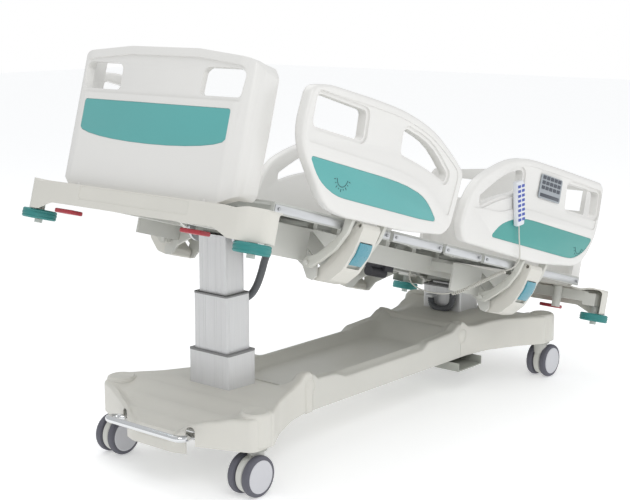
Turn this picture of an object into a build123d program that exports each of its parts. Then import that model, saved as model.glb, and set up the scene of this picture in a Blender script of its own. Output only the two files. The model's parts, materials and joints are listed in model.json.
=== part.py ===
"""Adjustable hospital bed on two telescopic columns, standing with its foot end raised.

World: X from the foot end to the head end, Y to the patient's right, Z up, floor at Z = 0.
The upper assembly is drawn level in its own frame (u, y, w), whose origin is midway between
the four bumpers, and is then tilted into place.
"""

from build123d import *
from math import cos, radians, sin, tan
import os

os.makedirs("parts", exist_ok=True)

# ---------------------------------------------------------------- driving sizes, mm and degrees
half_length = 1065      # bed centre to bumper axis, along
half_width = 476        # bed centre to bumper axis, across
tilt = 15.765           # head-down tilt the bed is standing in
column_spacing = 1348   # between the two lifting columns
column_mid_x = 15       # their midpoint, from the bed centre
low_pivot_z = 402       # pivot of a fully lowered column
pivot_w = 56            # pivot height in the upper frame

wheel_radius = 66.4
caster_half_y = half_width - 167
caster_trail = 24
caster_foot_reach = 173  # column to caster swivel, at each end
caster_head_reach = 207
post_radius = 50
cover_wall = 5
cover_bottom = 150
cover_top = 272
tray_half = 205
seam_reach = 226        # column to the seams of the base covers

outer_size = (130, 182)  # column tubes, along X and Y
middle_size = (112, 150)
inner_size = (92, 122)
tube_wall = 5
gap = 0.3               # running clearance
fit = 0.05              # radial shaft fit
pin_radius = 8

deck_top = 150          # heights and stations of the mattress platform, in (u, w)
deck_axis_w = 130
calf_end = -0.901 * half_length
knee_u = -360
hip_u = -45
waist_u = 215
back_end = 0.901 * half_length
deck_half = half_width - 39
back_angle = 70
knee_angle = 35

rail_thick = 42
rail_lift = 180         # side rail linkage: upper pivots above and outside the lower ones
rail_reach = 141
arm_low = (half_width - 151, -5)
arm_step = (8, -37)     # from the side arms' pivots to the centre arm's
board_half = half_width - 84
board_thick = 28
bumper_radius = 56.5
bumper_height = 31
pole_radius = 9.2       # bores for an infusion pole at the head corners
pole_at = (half_length - 57, half_width - 150)
pole_socket_w = (18, 104)
cheek_radius = 50       # disc cheeks of the foot column's trunnion
cheek_y = (93, 104)
pedal_radius = 11       # brake bar
lead_radius = 3         # hand control's cord: plain lead and curled middle
curl_radius = 7.5
hose_radius = 13        # corrugated hose on the head column

# ---------------------------------------------------------------- sizes that follow
slope = radians(tilt)
lift = column_spacing * tan(slope)      # height difference of the two column heads
stroke = lift / 2                       # of each telescopic stage
column_x = {"foot": column_mid_x - column_spacing / 2, "head": column_mid_x + column_spacing / 2}
pivot_z = {"foot": low_pivot_z + lift, "head": low_pivot_z}
outer_top = low_pivot_z - 20
pivot_gap = column_spacing / cos(slope)
foot_pivot_u = -pivot_gap / 2 - 1.2
head_pivot_u = foot_pivot_u + pivot_gap
end = {"foot": -1, "head": 1}
side = {"left": -1, "right": 1}


def block(x0, x1, y0, y1, z0, z1):
    """Box between two corners."""
    return Pos((x0 + x1) / 2, (y0 + y1) / 2, (z0 + z1) / 2) * Box(
        abs(x1 - x0), abs(y1 - y0), abs(z1 - z0)
    )


def bar_x(x0, x1, y, z, radius):
    return Pos((x0 + x1) / 2, y, z) * Rot(0, 90, 0) * Cylinder(radius, abs(x1 - x0))


def bar_y(x, y0, y1, z, radius):
    return Pos(x, (y0 + y1) / 2, z) * Rot(90, 0, 0) * Cylinder(radius, abs(y1 - y0))


def bar_z(x, y, z0, z1, radius):
    return Pos(x, y, (z0 + z1) / 2) * Cylinder(radius, abs(z1 - z0))


def outline(points, radius):
    """Face inside a closed polyline with rounded corners."""
    return make_face(FilletPolyline(*points, radius=radius, close=True))


def slab_y(points, radius, y0, y1):
    """Prism of an (x, z) outline between two Y planes."""
    low, high = min(y0, y1), max(y0, y1)
    return Pos(0, high, 0) * extrude(Plane.XZ * outline(points, radius), high - low)


def slab_x(points, radius, x0, x1):
    """Prism of a (y, z) outline between two X planes."""
    low, high = min(x0, x1), max(x0, x1)
    return Pos(low, 0, 0) * extrude(Plane.YZ * outline(points, radius), high - low)


def slab_z(points, radius, z0, z1):
    """Prism of an (x, y) outline between two heights."""
    return Pos(0, 0, z0) * extrude(outline(points, radius), z1 - z0)


def both_sides(part):
    return part + mirror(part, about=Plane.XZ)


def tube_along(points, radius):
    """Round tube through a list of points, each turned on the largest arc its runs allow."""
    runs = [Vector(*b) - Vector(*a) for a, b in zip(points, points[1:])]
    radii = []
    for back, on in zip(runs, runs[1:]):
        half_turn = radians(back.get_angle(on)) / 2
        radii.append(0.45 * min(back.length, on.length) / tan(half_turn))
    path = FilletPolyline(*points, radius=radii)
    return sweep(Plane(origin=points[0], z_dir=runs[0]) * Circle(radius), path=path)


def frame_place():
    """Where the upper assembly's own frame stands."""
    dx = foot_pivot_u * cos(slope) + pivot_w * sin(slope)
    dz = -foot_pivot_u * sin(slope) + pivot_w * cos(slope)
    return Pos(column_x["foot"] - dx, 0, pivot_z["foot"] - dz) * Rot(0, tilt, 0)


# ---------------------------------------------------------------- base
def caster_x(which):
    reach = caster_foot_reach if which == "foot" else caster_head_reach
    return column_x[which] + end[which] * reach


def cover_plan(which):
    """Half-waisted plan of an end cover of the base, counter-clockwise."""
    e = end[which]
    cx = caster_x(which)
    nose = cx + e * 153
    seam = column_x[which] - e * seam_reach
    y = caster_half_y
    half = [
        (nose, 90),
        (nose - e * 26, y - 149),
        (cx + e * 78, y - 20),
        (cx + e * 52, y + 46),
        (cx - e * 45, y + 46),
        (cx - e * 70, y + 20),
        (cx - e * 140, y - 25),
        (cx - e * 265, tray_half + 22),
        (seam + e * 40, tray_half),
        (seam, tray_half),
    ]
    return half + [(px, -py) for px, py in reversed(half)]


def cover_body(which, wall):
    """Outer or inner shape of an end cover, before the one is taken from the other."""
    e = end[which]
    cx = caster_x(which)
    nose = cx + e * 153
    seam = column_x[which] - e * seam_reach
    radii = [60, 60, 12, 30, 30, 15, 40, 60, 8, 0, 0, 8, 60, 40, 15, 30, 30, 12, 60, 60]
    low = cover_bottom if wall == 0 else cover_bottom - 40
    plan = outline(cover_plan(which), radii)
    if wall:
        plan = offset(plan, -wall, kind=Kind.INTERSECTION)
    body = Pos(0, 0, low) * extrude(plan, 200)
    top = [
        (nose + e * 10, low - 10),
        (nose + e * 10, cover_top - 64 - wall),
        (cx + e * 80, cover_top - 24 - wall),
        (column_x[which] + e * 100, cover_top - wall),
        (column_x[which] - e * 90, cover_top - wall),
        (seam - e * 10, cover_top - 14 - wall),
        (seam - e * 10, low - 10),
    ]
    body &= slab_y(top, 0, -500, 500)
    for sy in (-1, 1):
        body += bar_z(cx, sy * caster_half_y, low, cover_top - 4 - wall, post_radius - wall)
    return body


def boss_cut(which, radius, depth):
    """Round joints at the seams, on both sides of the base."""
    x = column_x[which] - end[which] * (seam_reach - 15)
    z = cover_top - 34
    return both_sides(bar_y(x, tray_half - depth, tray_half + 5, z, radius))


def base_cover(which):
    e = end[which]
    cover = cover_body(which, 0) - cover_body(which, cover_wall)
    cover += boss_cut(which, 46, cover_wall)
    x = column_x[which]
    hole_x, hole_y = outer_size[0] / 2 + 1, outer_size[1] / 2 + 1
    cover -= block(x - hole_x, x + hole_x, -hole_y, hole_y, 200, 400)
    seam, inside = x - e * seam_reach, tray_half - cover_wall
    cover -= block(seam - 20, seam + 20, -inside, inside, 100, cover_top - 68)
    if which == "foot":
        slot = [(135, 100), (165, 100), (165, 212), (135, 212)]
        cover -= both_sides(slab_x(slot, [0, 0, 14, 14], caster_x("foot") - 200, brake_x - 20))
    return cover


def centre_tray():
    x0 = column_x["foot"] + seam_reach + 0.5
    x1 = column_x["head"] - seam_reach - 0.5
    t = cover_wall
    rim, floor, ledge = cover_top - 26, cover_top - 62, cover_top - 43
    half = [
        (tray_half, cover_bottom),
        (tray_half, ledge),
        (tray_half - 37, rim),
        (tray_half - 52, rim),
        (tray_half - 66, floor),
    ]
    inner = [
        (tray_half - 66 + 3, floor - t),
        (tray_half - 49, rim - t),
        (tray_half - 39, rim - t),
        (tray_half - t, ledge - 3),
        (tray_half - t, cover_bottom),
    ]
    left = [(-y, z) for y, z in reversed(half)]
    back = [(-y, z) for y, z in reversed(inner)]
    tray = slab_x(half + left + back + inner, 0, x0, x1)
    for which in ("foot", "head"):
        tray -= boss_cut(which, 46.5, 60)
    return tray


brake_x = caster_x("foot") - 62
brake_z = 172


def base_frame():
    x0, x1 = caster_x("foot"), caster_x("head")
    frame = both_sides(block(x0, x1, 112, 152, 142, 190) - block(x0 + 40, x1 - 40, 115, 149, 145, 187))
    for which in ("foot", "head"):
        e = end[which]
        cx, x = caster_x(which), column_x[which]
        frame += block(cx - 35, cx + 35, -caster_half_y, caster_half_y, 142, 182)
        frame += both_sides(bar_z(cx, caster_half_y, 142, 236, 36))
        frame -= both_sides(bar_z(cx, caster_half_y, 130, 226, 14 + fit))
        plate = block(x - 85, x + 85, -120, 120, 142, 150)
        frame += plate - block(x - 67, x + 67, -93, 93, 130, 160)
    step_x = column_x["head"] - 209
    step = block(step_x - 80, step_x + 80, -240, 240, 110, 143)
    step -= block(step_x - 76, step_x + 76, -250, 250, 114, 150)
    frame += step
    plate_half = caster_half_y - 119
    step = block(x0 - 40, x0 + 56, -plate_half, plate_half, 130, 143)
    frame += step - block(x0 - 36, x0 + 52, -plate_half - 10, plate_half + 10, 133, 150)
    for y in (-225, 225):
        lug = block(brake_x - 14, x0 - 30, y - 8, y + 8, brake_z - 14, brake_z + 14)
        frame += lug
        frame -= bar_y(brake_x, y - 20, y + 20, brake_z, pin_radius + fit)
    return frame


def brake_bar():
    """Pedal bar across the foot end, on the cross shaft that works the casters' brakes."""
    def z_at(x):
        return brake_z + (brake_x - x) * 0.14
    reach = 75, 132
    plan = [(0, 150), (reach[0], 150), (reach[1], 226), (reach[1], -188), (reach[0], -150), (0, -150)]
    points = [(brake_x - out, y, z_at(brake_x - out)) for out, y in plan]
    path = FilletPolyline(*points, radius=26)
    start = Plane(origin=points[0], z_dir=Vector(*points[1]) - Vector(*points[0]))
    bar = sweep(start * Circle(pedal_radius), path=path)
    return bar + bar_y(brake_x, -262, 262, brake_z, pin_radius)


def column_tube(size, z0, z1):
    x, y = size[0] / 2, size[1] / 2
    t = tube_wall
    return block(-x, x, -y, y, z0, z1) - block(-x + t, x - t, -y + t, y - t, z0 - 1, z1 + 1)


def ring(outside, inside, z0, z1):
    x, y = outside[0] / 2, outside[1] / 2
    a, b = inside[0] / 2, inside[1] / 2
    return block(-x, x, -y, y, z0, z1) - block(-a, a, -b, b, z0 - 1, z1 + 1)


def grown(size, by):
    return (size[0] + 2 * by, size[1] + 2 * by)


hose_socket_z = outer_top - 16
hose_route = [(-83, -66, hose_socket_z), (-83, -66, 330), (-84, -52, 300), (-84, -14, cover_top + 17),
              (-84, 20, cover_top + 20), (-83, 40, 308), (-83, 40, 332)]


def hose_sockets():
    """Downward sockets on the head column's face towards the foot end."""
    sockets = Part()
    for x, y, z in (hose_route[0], hose_route[-1]):
        sockets += block(x - 16, -outer_size[0] / 2 + 1, y - 17, y + 17, z, z + 12)
    return sockets


def column_outer():
    tube = column_tube(outer_size, 118, outer_top)
    tube += ring(grown(outer_size, -2), grown(middle_size, gap), outer_top - 14, outer_top)
    return tube + ring((166, 216), grown(outer_size, -2), 150, 158)


def column_middle():
    """Stage drawn in its lowest position, with guide shoes that run in the outer tube."""
    top, low = outer_top + 3, 126
    tube = column_tube(middle_size, low, top)
    tube += ring(grown(middle_size, -2), grown(inner_size, gap), top - 14, top)
    return tube + ring(grown(outer_size, -tube_wall - gap), grown(middle_size, -2), low, low + 24)


def column_inner(pinned):
    top, low = low_pivot_z - 13, 139
    tube = column_tube(inner_size, low, top + 2)
    tube += ring(grown(middle_size, -tube_wall - gap), grown(inner_size, -2), low, low + 24)
    reach = cheek_y[1] if pinned else cheek_y[0] - 1
    tube += block(-25, 25, -reach, reach, top, low_pivot_z + 13)
    if pinned:
        return tube + bar_y(0, -124, 124, low_pivot_z, pin_radius)
    return tube - bar_y(0, -130, 130, low_pivot_z, pin_radius + fit)


def caster_fork(which):
    """Swivel stem, neck and centre plate, drawn about the swivel axis."""
    a = end[which] * caster_trail
    top = 2 * wheel_radius + 1
    fork = bar_z(0, 0, top, 224, 14) + bar_z(0, 0, top, 141.5, 24)
    leg = [(-22, top + 2), (22, top + 2), (a + 24, wheel_radius), (a, wheel_radius - 24),
           (a - 24, wheel_radius)]
    fork += slab_y(leg, [0, 0, 10, 10, 10], -13, 13)
    return fork - bar_y(a, -20, 20, wheel_radius, 6 + fit)


def caster_wheels(which):
    a = end[which] * caster_trail
    wheel = Rot(90, 0, 0) * Cylinder(wheel_radius, 26)
    wheel = fillet(wheel.edges().filter_by(GeomType.CIRCLE), 8)
    hub = Pos(0, 13, 0) * Rot(90, 0, 0) * Cylinder(wheel_radius - 17, 3)
    wheel = Pos(0, 30, 0) * (wheel + hub)
    return Pos(a, 0, wheel_radius) * (both_sides(wheel) + bar_y(0, -20, 20, 0, 6))


# ---------------------------------------------------------------- upper frame, in (u, y, w)
beam_y = 150
back_pin_drop = 60
knee_pin_drop = 70
actuator_y = 58
rail_middle = {"foot": -540, "head": 520}


def arm_pivots():
    """Lower and upper pivots of the side arms, then of the centre arm, as (|y|, w)."""
    y, w = arm_low
    dy, dw = arm_step
    return {
        "low": (y, w),
        "high": (y + rail_reach, w + rail_lift),
        "low_centre": (y + dy, w + dw),
        "high_centre": (y + rail_reach + dy, w + rail_lift + dw),
    }


def rail_bracket(u):
    """Pair of plates on the right beam that carry one side rail's arms."""
    p = arm_pivots()
    (ya, wa), (yb, wb) = p["low"], p["low_centre"]
    plate = [(beam_y + 20, 50), (beam_y + 20, 108), (beam_y + 60, 100), (ya + 6, wa + 16),
             (ya + 16, wa), (yb + 14, wb), (yb, wb - 14), (yb - 22, wb - 10), (ya - 40, wa - 10)]
    bracket = block(u - 60, u + 60, beam_y + 20, beam_y + 34, 60, 100)
    for s in (-1, 1):
        a, b = sorted((u + s * 52, u + s * 60))
        bracket += slab_x(plate, 0, a, b)
        bracket += bar_x(u + s * 56, u + s * 98, ya, wa, pin_radius)
    bracket += block(u - 259, u - 59, ya - 41, ya - 33, wa + 4, 102)
    for s in (230, 110):
        bracket += block(u - s - 10, u - s + 10, beam_y + 20, ya - 35, 62, 96)
    return bracket + bar_x(u - 54, u + 54, yb, wb, pin_radius)


def pivot_plate(which):
    """Plates inside the beams: a bore for the foot shaft, a long slot for the head pin."""
    u = foot_pivot_u if which == "foot" else head_pivot_u
    plate = [(u - 95, 112), (u + 60, 112), (u + 60, 60), (u + 26, 34), (u - 26, 34), (u - 95, 60)]
    body = slab_y(plate, 0, 107, 127)
    if which == "foot":
        return body - bar_y(u, 100, 130, pivot_w, pin_radius + fit)
    play = 4.4
    level_u = foot_pivot_u + column_spacing
    r = pin_radius + play
    slot = [(level_u - r, pivot_w - r), (u + r, pivot_w - r),
            (u + r, pivot_w + r), (level_u - r, pivot_w + r)]
    return body - slab_y(slot, r * 0.7, 100, 130)


def frame_end(which):
    e = end[which]
    u = e * (half_length - 25)
    beam = block(u - 20, u + 20, -half_width + 20, half_width - 20, 60, 100)
    tip = block(u - 20, u + e * 40, half_width - 40, half_width + 16, 45, 95)
    tip += bar_z(e * half_length, half_width, -28, 60, pin_radius)
    tip += bar_z(e * half_length, half_width, bumper_height / 2 + 0.5, 50, 14)
    tip += bar_z(e * half_length, half_width, -28, -bumper_height / 2 - 0.5, 13)
    socket = bar_z(e * (half_length + 13), board_half - 112, 55, 104, 22)
    beam += both_sides(tip + socket)
    beam -= both_sides(bar_z(e * (half_length + 13), board_half - 112, 40, 120, 15.3))
    if which == "foot":
        return beam
    low, high = pole_socket_w
    beam += both_sides(bar_z(*pole_at, low, high, pole_radius + 8))
    return beam - both_sides(bar_z(*pole_at, low - 5, high + 5, pole_radius))


def upper_frame():
    long = half_length - 85
    frame = both_sides(block(-long, long, beam_y - 25, beam_y + 25, 45, 112))
    frame += both_sides(block(-long - 60, long + 60, beam_y - 25, beam_y + 25, 45, 100))
    frame -= both_sides(block(-long + 5, long - 5, beam_y - 20, beam_y + 20, 50, 107))
    for which in ("foot", "head"):
        frame += frame_end(which)
        frame += both_sides(pivot_plate(which))
        frame += both_sides(rail_bracket(rail_middle[which]))
    for u in (-470, -195, 345):
        frame += block(u - 15, u + 15, -beam_y + 20, beam_y - 20, 52, 96)
    for u in (hip_u + 45, waist_u - 45):
        frame += both_sides(block(u - 12, u + 12, beam_y - 15, beam_y + 15, 110, deck_top - 6))
    for u in (calf_end + 50, knee_u - 60, knee_u + 70, waist_u + 120, back_end - 60):
        frame += both_sides(block(u - 10, u + 10, beam_y - 12, beam_y + 12, 110, deck_top - 6 - gap))
    return frame


def end_cover(which):
    """Moulded cover over one end of the frame, open below and towards the deck."""
    e = end[which]
    tip = half_length + 57

    def shape(t):
        back = half_length - 80 - (20 if t else 0)
        w_low = -60 if t else 0
        y = half_width + 48 - t
        plan = [(back, y - 24), (back + 45, y), (tip - 50, y), (tip - t, y - 60),
                (tip - t, -y + 60), (tip - 50, -y), (back + 45, -y), (back, -y + 24)]
        plan = [(e * u, v) for u, v in plan]
        front = [(-y, 17 + w_low), (-y + 100, 17 + w_low), (-y + 160, 42 + w_low),
                 (y - 160, 42 + w_low), (y - 100, 17 + w_low), (y, 17 + w_low),
                 (y, 116 - t), (y - 46, 116 - t), (y - 96, 105 - t), (y - 130, 111 - t),
                 (-y + 130, 111 - t), (-y + 96, 105 - t), (-y + 46, 116 - t), (-y, 116 - t)]
        radii = [8, 20, 40, 40, 20, 8, 14, 30, 30, 30, 30, 30, 30, 14]
        low, high = sorted((e * (back - 5), e * (tip + 5)))
        return slab_z(plan, [10, 30, 40, 60, 60, 40, 30, 10], -80, 130) & slab_x(
            front, radii, low, high)

    cover = shape(0) - shape(cover_wall)
    bore = bar_z(e * (half_length + 13), board_half - 112, 100, 120, 22.5)
    if which == "head":
        bore += bar_z(*pole_at, 100, 120, pole_radius + 8.5)
    return cover - both_sides(bore)


def board(which):
    """Head or foot board: a panel with curved wings and two hand holes, on two pegs."""
    e = end[which]
    face = half_length + 27
    t = board_thick
    y = board_half
    plan = [(face, -y + 62), (face, y - 62), (face - 18, y - 16), (face - 50, y - 4),
            (face - 107, y), (face - 107, y - 20), (face - 54, y - 26), (face - t, y - 62),
            (face - t, -y + 62), (face - 54, -y + 26), (face - 107, -y + 20), (face - 107, -y),
            (face - 50, -y + 4), (face - 18, -y + 16)]
    plan = [(e * u, v) for u, v in plan]
    front = [(-y + 60, 113), (y - 60, 113), (y - 5, 143), (y, 330), (y, 510), (y - 27, 546),
             (150, 567), (-150, 567), (-y + 27, 546), (-y, 510), (-y, 330), (-y + 5, 143)]
    radii = [10, 10, 30, 100, 40, 40, 200, 200, 40, 40, 100, 30]
    low, high = sorted((e * (face - 120), e * (face + 10)))
    part = slab_z(plan, [40, 40, 20, 30, 0, 0, 20, 30, 30, 20, 0, 0, 30, 20], 100, 600)
    part &= slab_x(front, radii, low, high)
    hole = [(175, 427), (y - 47, 427), (y - 40, 500), (y - 62, 514), (195, 514), (178, 500)]
    part -= both_sides(slab_x(hole, 16, low, high))
    low, high = sorted((e * (face - 3), e * (face + 10)))
    part -= slab_x(insert_points(0), [10, 10, 60, 60, 10, 10], low, high)
    return part + both_sides(bar_z(e * (half_length + 13), y - 112, 50, 120, 15))


def insert_points(shrink):
    y = board_half - 70 - shrink
    return [(y, 392 - shrink), (y, 300 + shrink), (150, 264 + shrink), (-150, 264 + shrink),
            (-y, 300 + shrink), (-y, 392 - shrink)]


def board_insert(which):
    face = half_length + 27
    points = insert_points(0.5)
    return slab_x(points, [10, 10, 60, 60, 10, 10], end[which] * (face - 3), end[which] * (face + 1))


def bumper_roller(which, s):
    disc = Cylinder(bumper_radius, bumper_height)
    disc = fillet(disc.edges(), 6) - Cylinder(pin_radius + fit, 50)
    return Pos(end[which] * half_length, side[s] * half_width, 0) * disc


def ear(u, direction, y0, y1, bore):
    """Hinge ear under a deck panel, on both sides of the bed."""
    body = block(u + direction * 18, u + direction * 50, y0, y1, deck_axis_w - 10, deck_top - 4)
    body += block(u, u + direction * 20, y0, y1, deck_axis_w - 10, deck_axis_w + 6)
    body += bar_y(u, y0, y1, deck_axis_w, 12)
    if bore:
        body -= bar_y(u, y0 - 5, y1 + 5, deck_axis_w, 5 + fit)
    return both_sides(body)


def deck_panel(u0, u1, ribs):
    low, high = min(u0, u1), max(u0, u1)
    panel = block(low, high, -deck_half + 10, deck_half - 10, deck_top - 6, deck_top)
    panel += both_sides(block(low, high, deck_half - 12, deck_half, deck_top - 35, deck_top))
    for u in ribs:
        panel += block(u - 12, u + 12, -deck_half + 10, deck_half - 10, deck_top - 20, deck_top - 4)
    return panel


def lever(u, angle, drop, y0, y1, attach):
    """Slotted crank under a hinge; the actuator's pin runs in the slot."""
    far = drop / cos(radians(angle / 2))
    play = drop * 0.045
    crank = slab_y([(-15, 12), (15, 12), (13, -far - 13), (-13, -far - 13)], [0, 0, 8, 8], y0, y1)
    slot = [(-5 - play, -drop + 8), (5 + play, -drop + 8), (5 + play, -far - 7), (-5 - play, -far - 7)]
    crank -= slab_y(slot, 4, y0 - 1, y1 + 1)
    turn = -attach * angle / 2
    crank = Pos(u, 0, deck_axis_w) * Rot(0, -turn, 0) * crank
    web = [(u + attach * 10, deck_axis_w + 6), (u + attach * 10, deck_axis_w - 12),
           (u + attach * 20, deck_axis_w - 10), (u + attach * 90, deck_top - 4),
           (u + attach * 18, deck_top - 4)]
    crank += slab_y(web, 0, y0, y1)
    return crank + bar_y(u, y0, y1, deck_axis_w, 15)


def backrest_panel():
    panel = deck_panel(waist_u + 10, back_end, (waist_u + 200, waist_u + 420, waist_u + 640))
    panel += ear(waist_u, 1, 310, 320, True)
    return panel + lever(waist_u, back_angle, back_pin_drop, -actuator_y - 6, -actuator_y + 6, 1)


def seat_panel():
    panel = deck_panel(hip_u + 18, waist_u - 18, ((hip_u + waist_u) / 2,))
    for u, d in ((hip_u, 1), (waist_u, -1)):
        panel += ear(u, d, 300, 309.7, False)
        panel += both_sides(bar_y(u, 305, 325, deck_axis_w, 5))
    return panel


def thigh_panel():
    panel = deck_panel(knee_u + 10, hip_u - 10, (hip_u - 100, hip_u - 210))
    panel += ear(hip_u, -1, 310, 320, True)
    panel += ear(knee_u, 1, 300, 309.7, False) + both_sides(bar_y(knee_u, 305, 325, deck_axis_w, 5))
    return panel + lever(hip_u, knee_angle, knee_pin_drop, actuator_y - 6, actuator_y + 6, -1)


def calf_panel():
    panel = deck_panel(calf_end, knee_u - 10, (knee_u - 140, knee_u - 300, calf_end + 100))
    return panel + ear(knee_u, -1, 310, 320, True)


def actuator(u_pin, e, y, w, u_back):
    """Spindle drive: tube and gear head fixed to a cross bar, rod sliding out towards a crank."""
    mouth = u_pin - e * 83
    body = bar_x(u_back, mouth, y, w, 24)
    body += block(u_back, u_back + e * 55, y - 30, y + 30, w - 30, w + 26)
    body += bar_x(u_back + e * 20, u_back + e * 120, y, w - 38, 20)
    body -= bar_x(u_back + e * 30, mouth + e, y, w, 10 + fit)
    rod = bar_x(u_pin - e * 140, u_pin - e * 40, y, w, 10)
    rod += block(u_pin - e * 45, u_pin - e * 30, y - 16, y + 16, w - 12, w + 12)
    for s in (-1, 1):
        rod += block(u_pin - e * 32, u_pin + e * 9, y + s * 6.5, y + s * 16, w - 9, w + 9)
    rod += bar_y(u_pin, y - 16, y + 16, w, 5)
    return body, rod


def trunnion_shaft():
    """Foot column's pivot shaft with two disc cheeks beside the crosshead."""
    shaft = bar_y(foot_pivot_u, -124.5, 124.5, pivot_w, pin_radius)
    return shaft + both_sides(bar_y(foot_pivot_u, *cheek_y, pivot_w, cheek_radius))


def control_box():
    return fillet(block(-605, -485, -95, 95, 38, 98).edges().filter_by(Axis.X), 10)


# ---------------------------------------------------------------- side rails, on the right side
foot_rail = [(-950, 503), (-968, 342), (-800, 168), (-705, 148), (-361, 152), (-147, 172),
             (-112, 208), (-96, 307), (-88, 398), (-158, 438), (-295, 502), (-475, 530),
             (-648, 530), (-873, 524)]
foot_rail_radii = [40, 900, 500, 500, 900, 60, 50, 900, 45, 500, 900, 900, 900, 900]
head_rail = [(-52, 222), (-42, 300), (0, 380), (90, 443), (215, 503), (330, 525), (600, 530),
             (898, 532), (927, 510), (932, 325), (866, 217), (797, 180), (495, 155), (-20, 168)]
head_rail_radii = [50, 400, 400, 900, 900, 900, 900, 25, 25, 400, 300, 300, 900, 50]
foot_holes = [
    ([(-912, 389), (-912, 488), (-667, 486), (-662, 392)], 18),
    ([(-461, 478), (-458, 391), (-300, 372), (-185, 344), (-178, 376), (-300, 455)],
     [18, 18, 900, 14, 14, 900]),
]
head_holes = [
    ([(50, 300), (140, 344), (290, 392), (311, 404), (306, 478), (222, 458), (138, 410), (46, 340)],
     [14, 900, 10, 10, 18, 900, 900, 14]),
    ([(655, 386), (642, 488), (905, 490), (912, 388)], 18),
]


def scaled(points):
    k = half_length / 1065
    return [(u * k, w) for u, w in points]


def eased(points, radii):
    """Corner radii, each no larger than its two sides have room for."""
    if not isinstance(radii, list):
        radii = [radii] * len(points)
    room = []
    for i, radius in enumerate(radii):
        corner = Vector(*points[i])
        back = Vector(*points[i - 1]) - corner
        on = Vector(*points[(i + 1) % len(points)]) - corner
        turn = radians(180 - back.get_angle(on))
        room.append(min(radius, 0.49 * min(back.length, on.length) / tan(turn / 2)))
    return room


def side_rail(which):
    """Moulded rail with two hand holes and an inside pocket that takes the arms."""
    inside, outside = half_width - rail_thick / 2, half_width + rail_thick / 2
    points, radii, holes = (
        (foot_rail, foot_rail_radii, foot_holes) if which == "foot"
        else (head_rail, head_rail_radii, head_holes)
    )
    points = scaled(points)
    rail = slab_y(points, eased(points, radii), inside, outside)
    for hole, radius in holes:
        hole = scaled(hole)
        rail -= slab_y(hole, eased(hole, radius), inside - 5, outside + 5)
    u = rail_middle[which]
    p = arm_pivots()
    (ya, wa), (yb, wb) = p["high"], p["high_centre"]
    rail -= block(u - 100, u + 100, inside - 5, outside - 9, 120, 240)
    for s in (-1, 1):
        a, b = sorted((u + s * 50, u + s * 60))
        rail += block(a, b, ya - 11, outside - 5, wb - 13, 245)
        rail += bar_x(u + s * 55, u + s * 104, ya, wa, pin_radius)
    return rail + bar_x(u - 55, u + 55, yb, wb, pin_radius - 1)


def side_arms(which):
    """The two S-shaped outer arms of one rail."""
    u = rail_middle[which]
    p = arm_pivots()
    (ya, wa), (yb, wb) = p["low"], p["high"]
    path = [(ya - 14, wa - 13), (ya + 14, wa - 14), (ya + 54, wa + 14), (ya + 104, wa + 56),
            (ya + 140, wa + 112), (yb + 14, wb - 20), (yb + 13, wb + 12), (yb - 12, wb + 13),
            (yb - 16, wb - 16), (ya + 118, wa + 112), (ya + 82, wa + 74), (ya + 36, wa + 34),
            (ya - 14, wa + 14)]
    radii = [10, 10, 30, 30, 30, 10, 10, 10, 10, 30, 30, 30, 10]
    arms = slab_x(path, radii, u + 76, u + 92) + slab_x(path, radii, u - 92, u - 76)
    for y, w in (p["low"], p["high"]):
        arms -= bar_x(u - 100, u + 100, y, w, pin_radius + fit)
    return arms


def handle_hinge():
    y, w = arm_pivots()["high_centre"]
    return y - 3, w - 58


def centre_arm(which):
    """Inner arm with the moulded shroud that carries the release handle."""
    u = rail_middle[which]
    p = arm_pivots()
    (ya, wa), (yb, wb) = p["low_centre"], p["high_centre"]
    path = [(ya - 14, wa - 12), (ya + 16, wa - 14), (ya + 60, wa - 6), (ya + 104, wa + 34),
            (ya + 134, wa + 92), (yb + 16, wb - 6), (yb + 10, wb + 8), (yb - 8, wb + 12),
            (ya + 76, wa + 116), (ya + 34, wa + 50), (ya - 14, wa + 14)]
    radii = [10, 10, 30, 40, 60, 4, 6, 6, 60, 30, 10]
    arm = slab_x(path, radii, u - 46, u + 46)
    arm -= bar_x(u - 60, u + 60, ya, wa, pin_radius + fit)
    arm -= bar_x(u - 60, u + 60, yb, wb, pin_radius - 1 + fit)
    y, w = handle_hinge()
    seat = [(y - 7, w + 8), (y - 7, w - 14), (y - 19, w - 38), (y - 44, w - 80), (y + 40, w - 80),
            (y + 40, w + 8)]
    arm -= slab_x(seat, 0, u - 33, u + 33)
    return arm - bar_x(u - 38, u + 38, y, w, 3 + fit)


def release_handle(which):
    """Curved pull handle, hinged at its upper edge."""
    u = rail_middle[which]
    y, w = handle_hinge()
    path = [(y - 4, w + 5), (y - 4, w - 14), (y - 15, w - 36), (y - 36, w - 68), (y - 22, w - 69),
            (y - 1, w - 37), (y + 7, w - 14), (y + 9, w + 5)]
    radii = [3, 20, 20, 0, 0, 20, 20, 3]
    return slab_x(path, radii, u - 32, u + 32) + bar_x(u - 37.5, u + 37.5, y, w, 3)


handset_size = (46, 24, 165)
handset_turn = -20
handset_at = (0.258 * half_length, half_width + (rail_thick + handset_size[1]) / 2, 351)


def handset():
    """Hand control hanging on the outside of the left head rail."""
    body = fillet(Box(*handset_size).edges(), 8)
    return Pos(*handset_at) * Rot(0, handset_turn, 0) * body


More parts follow.
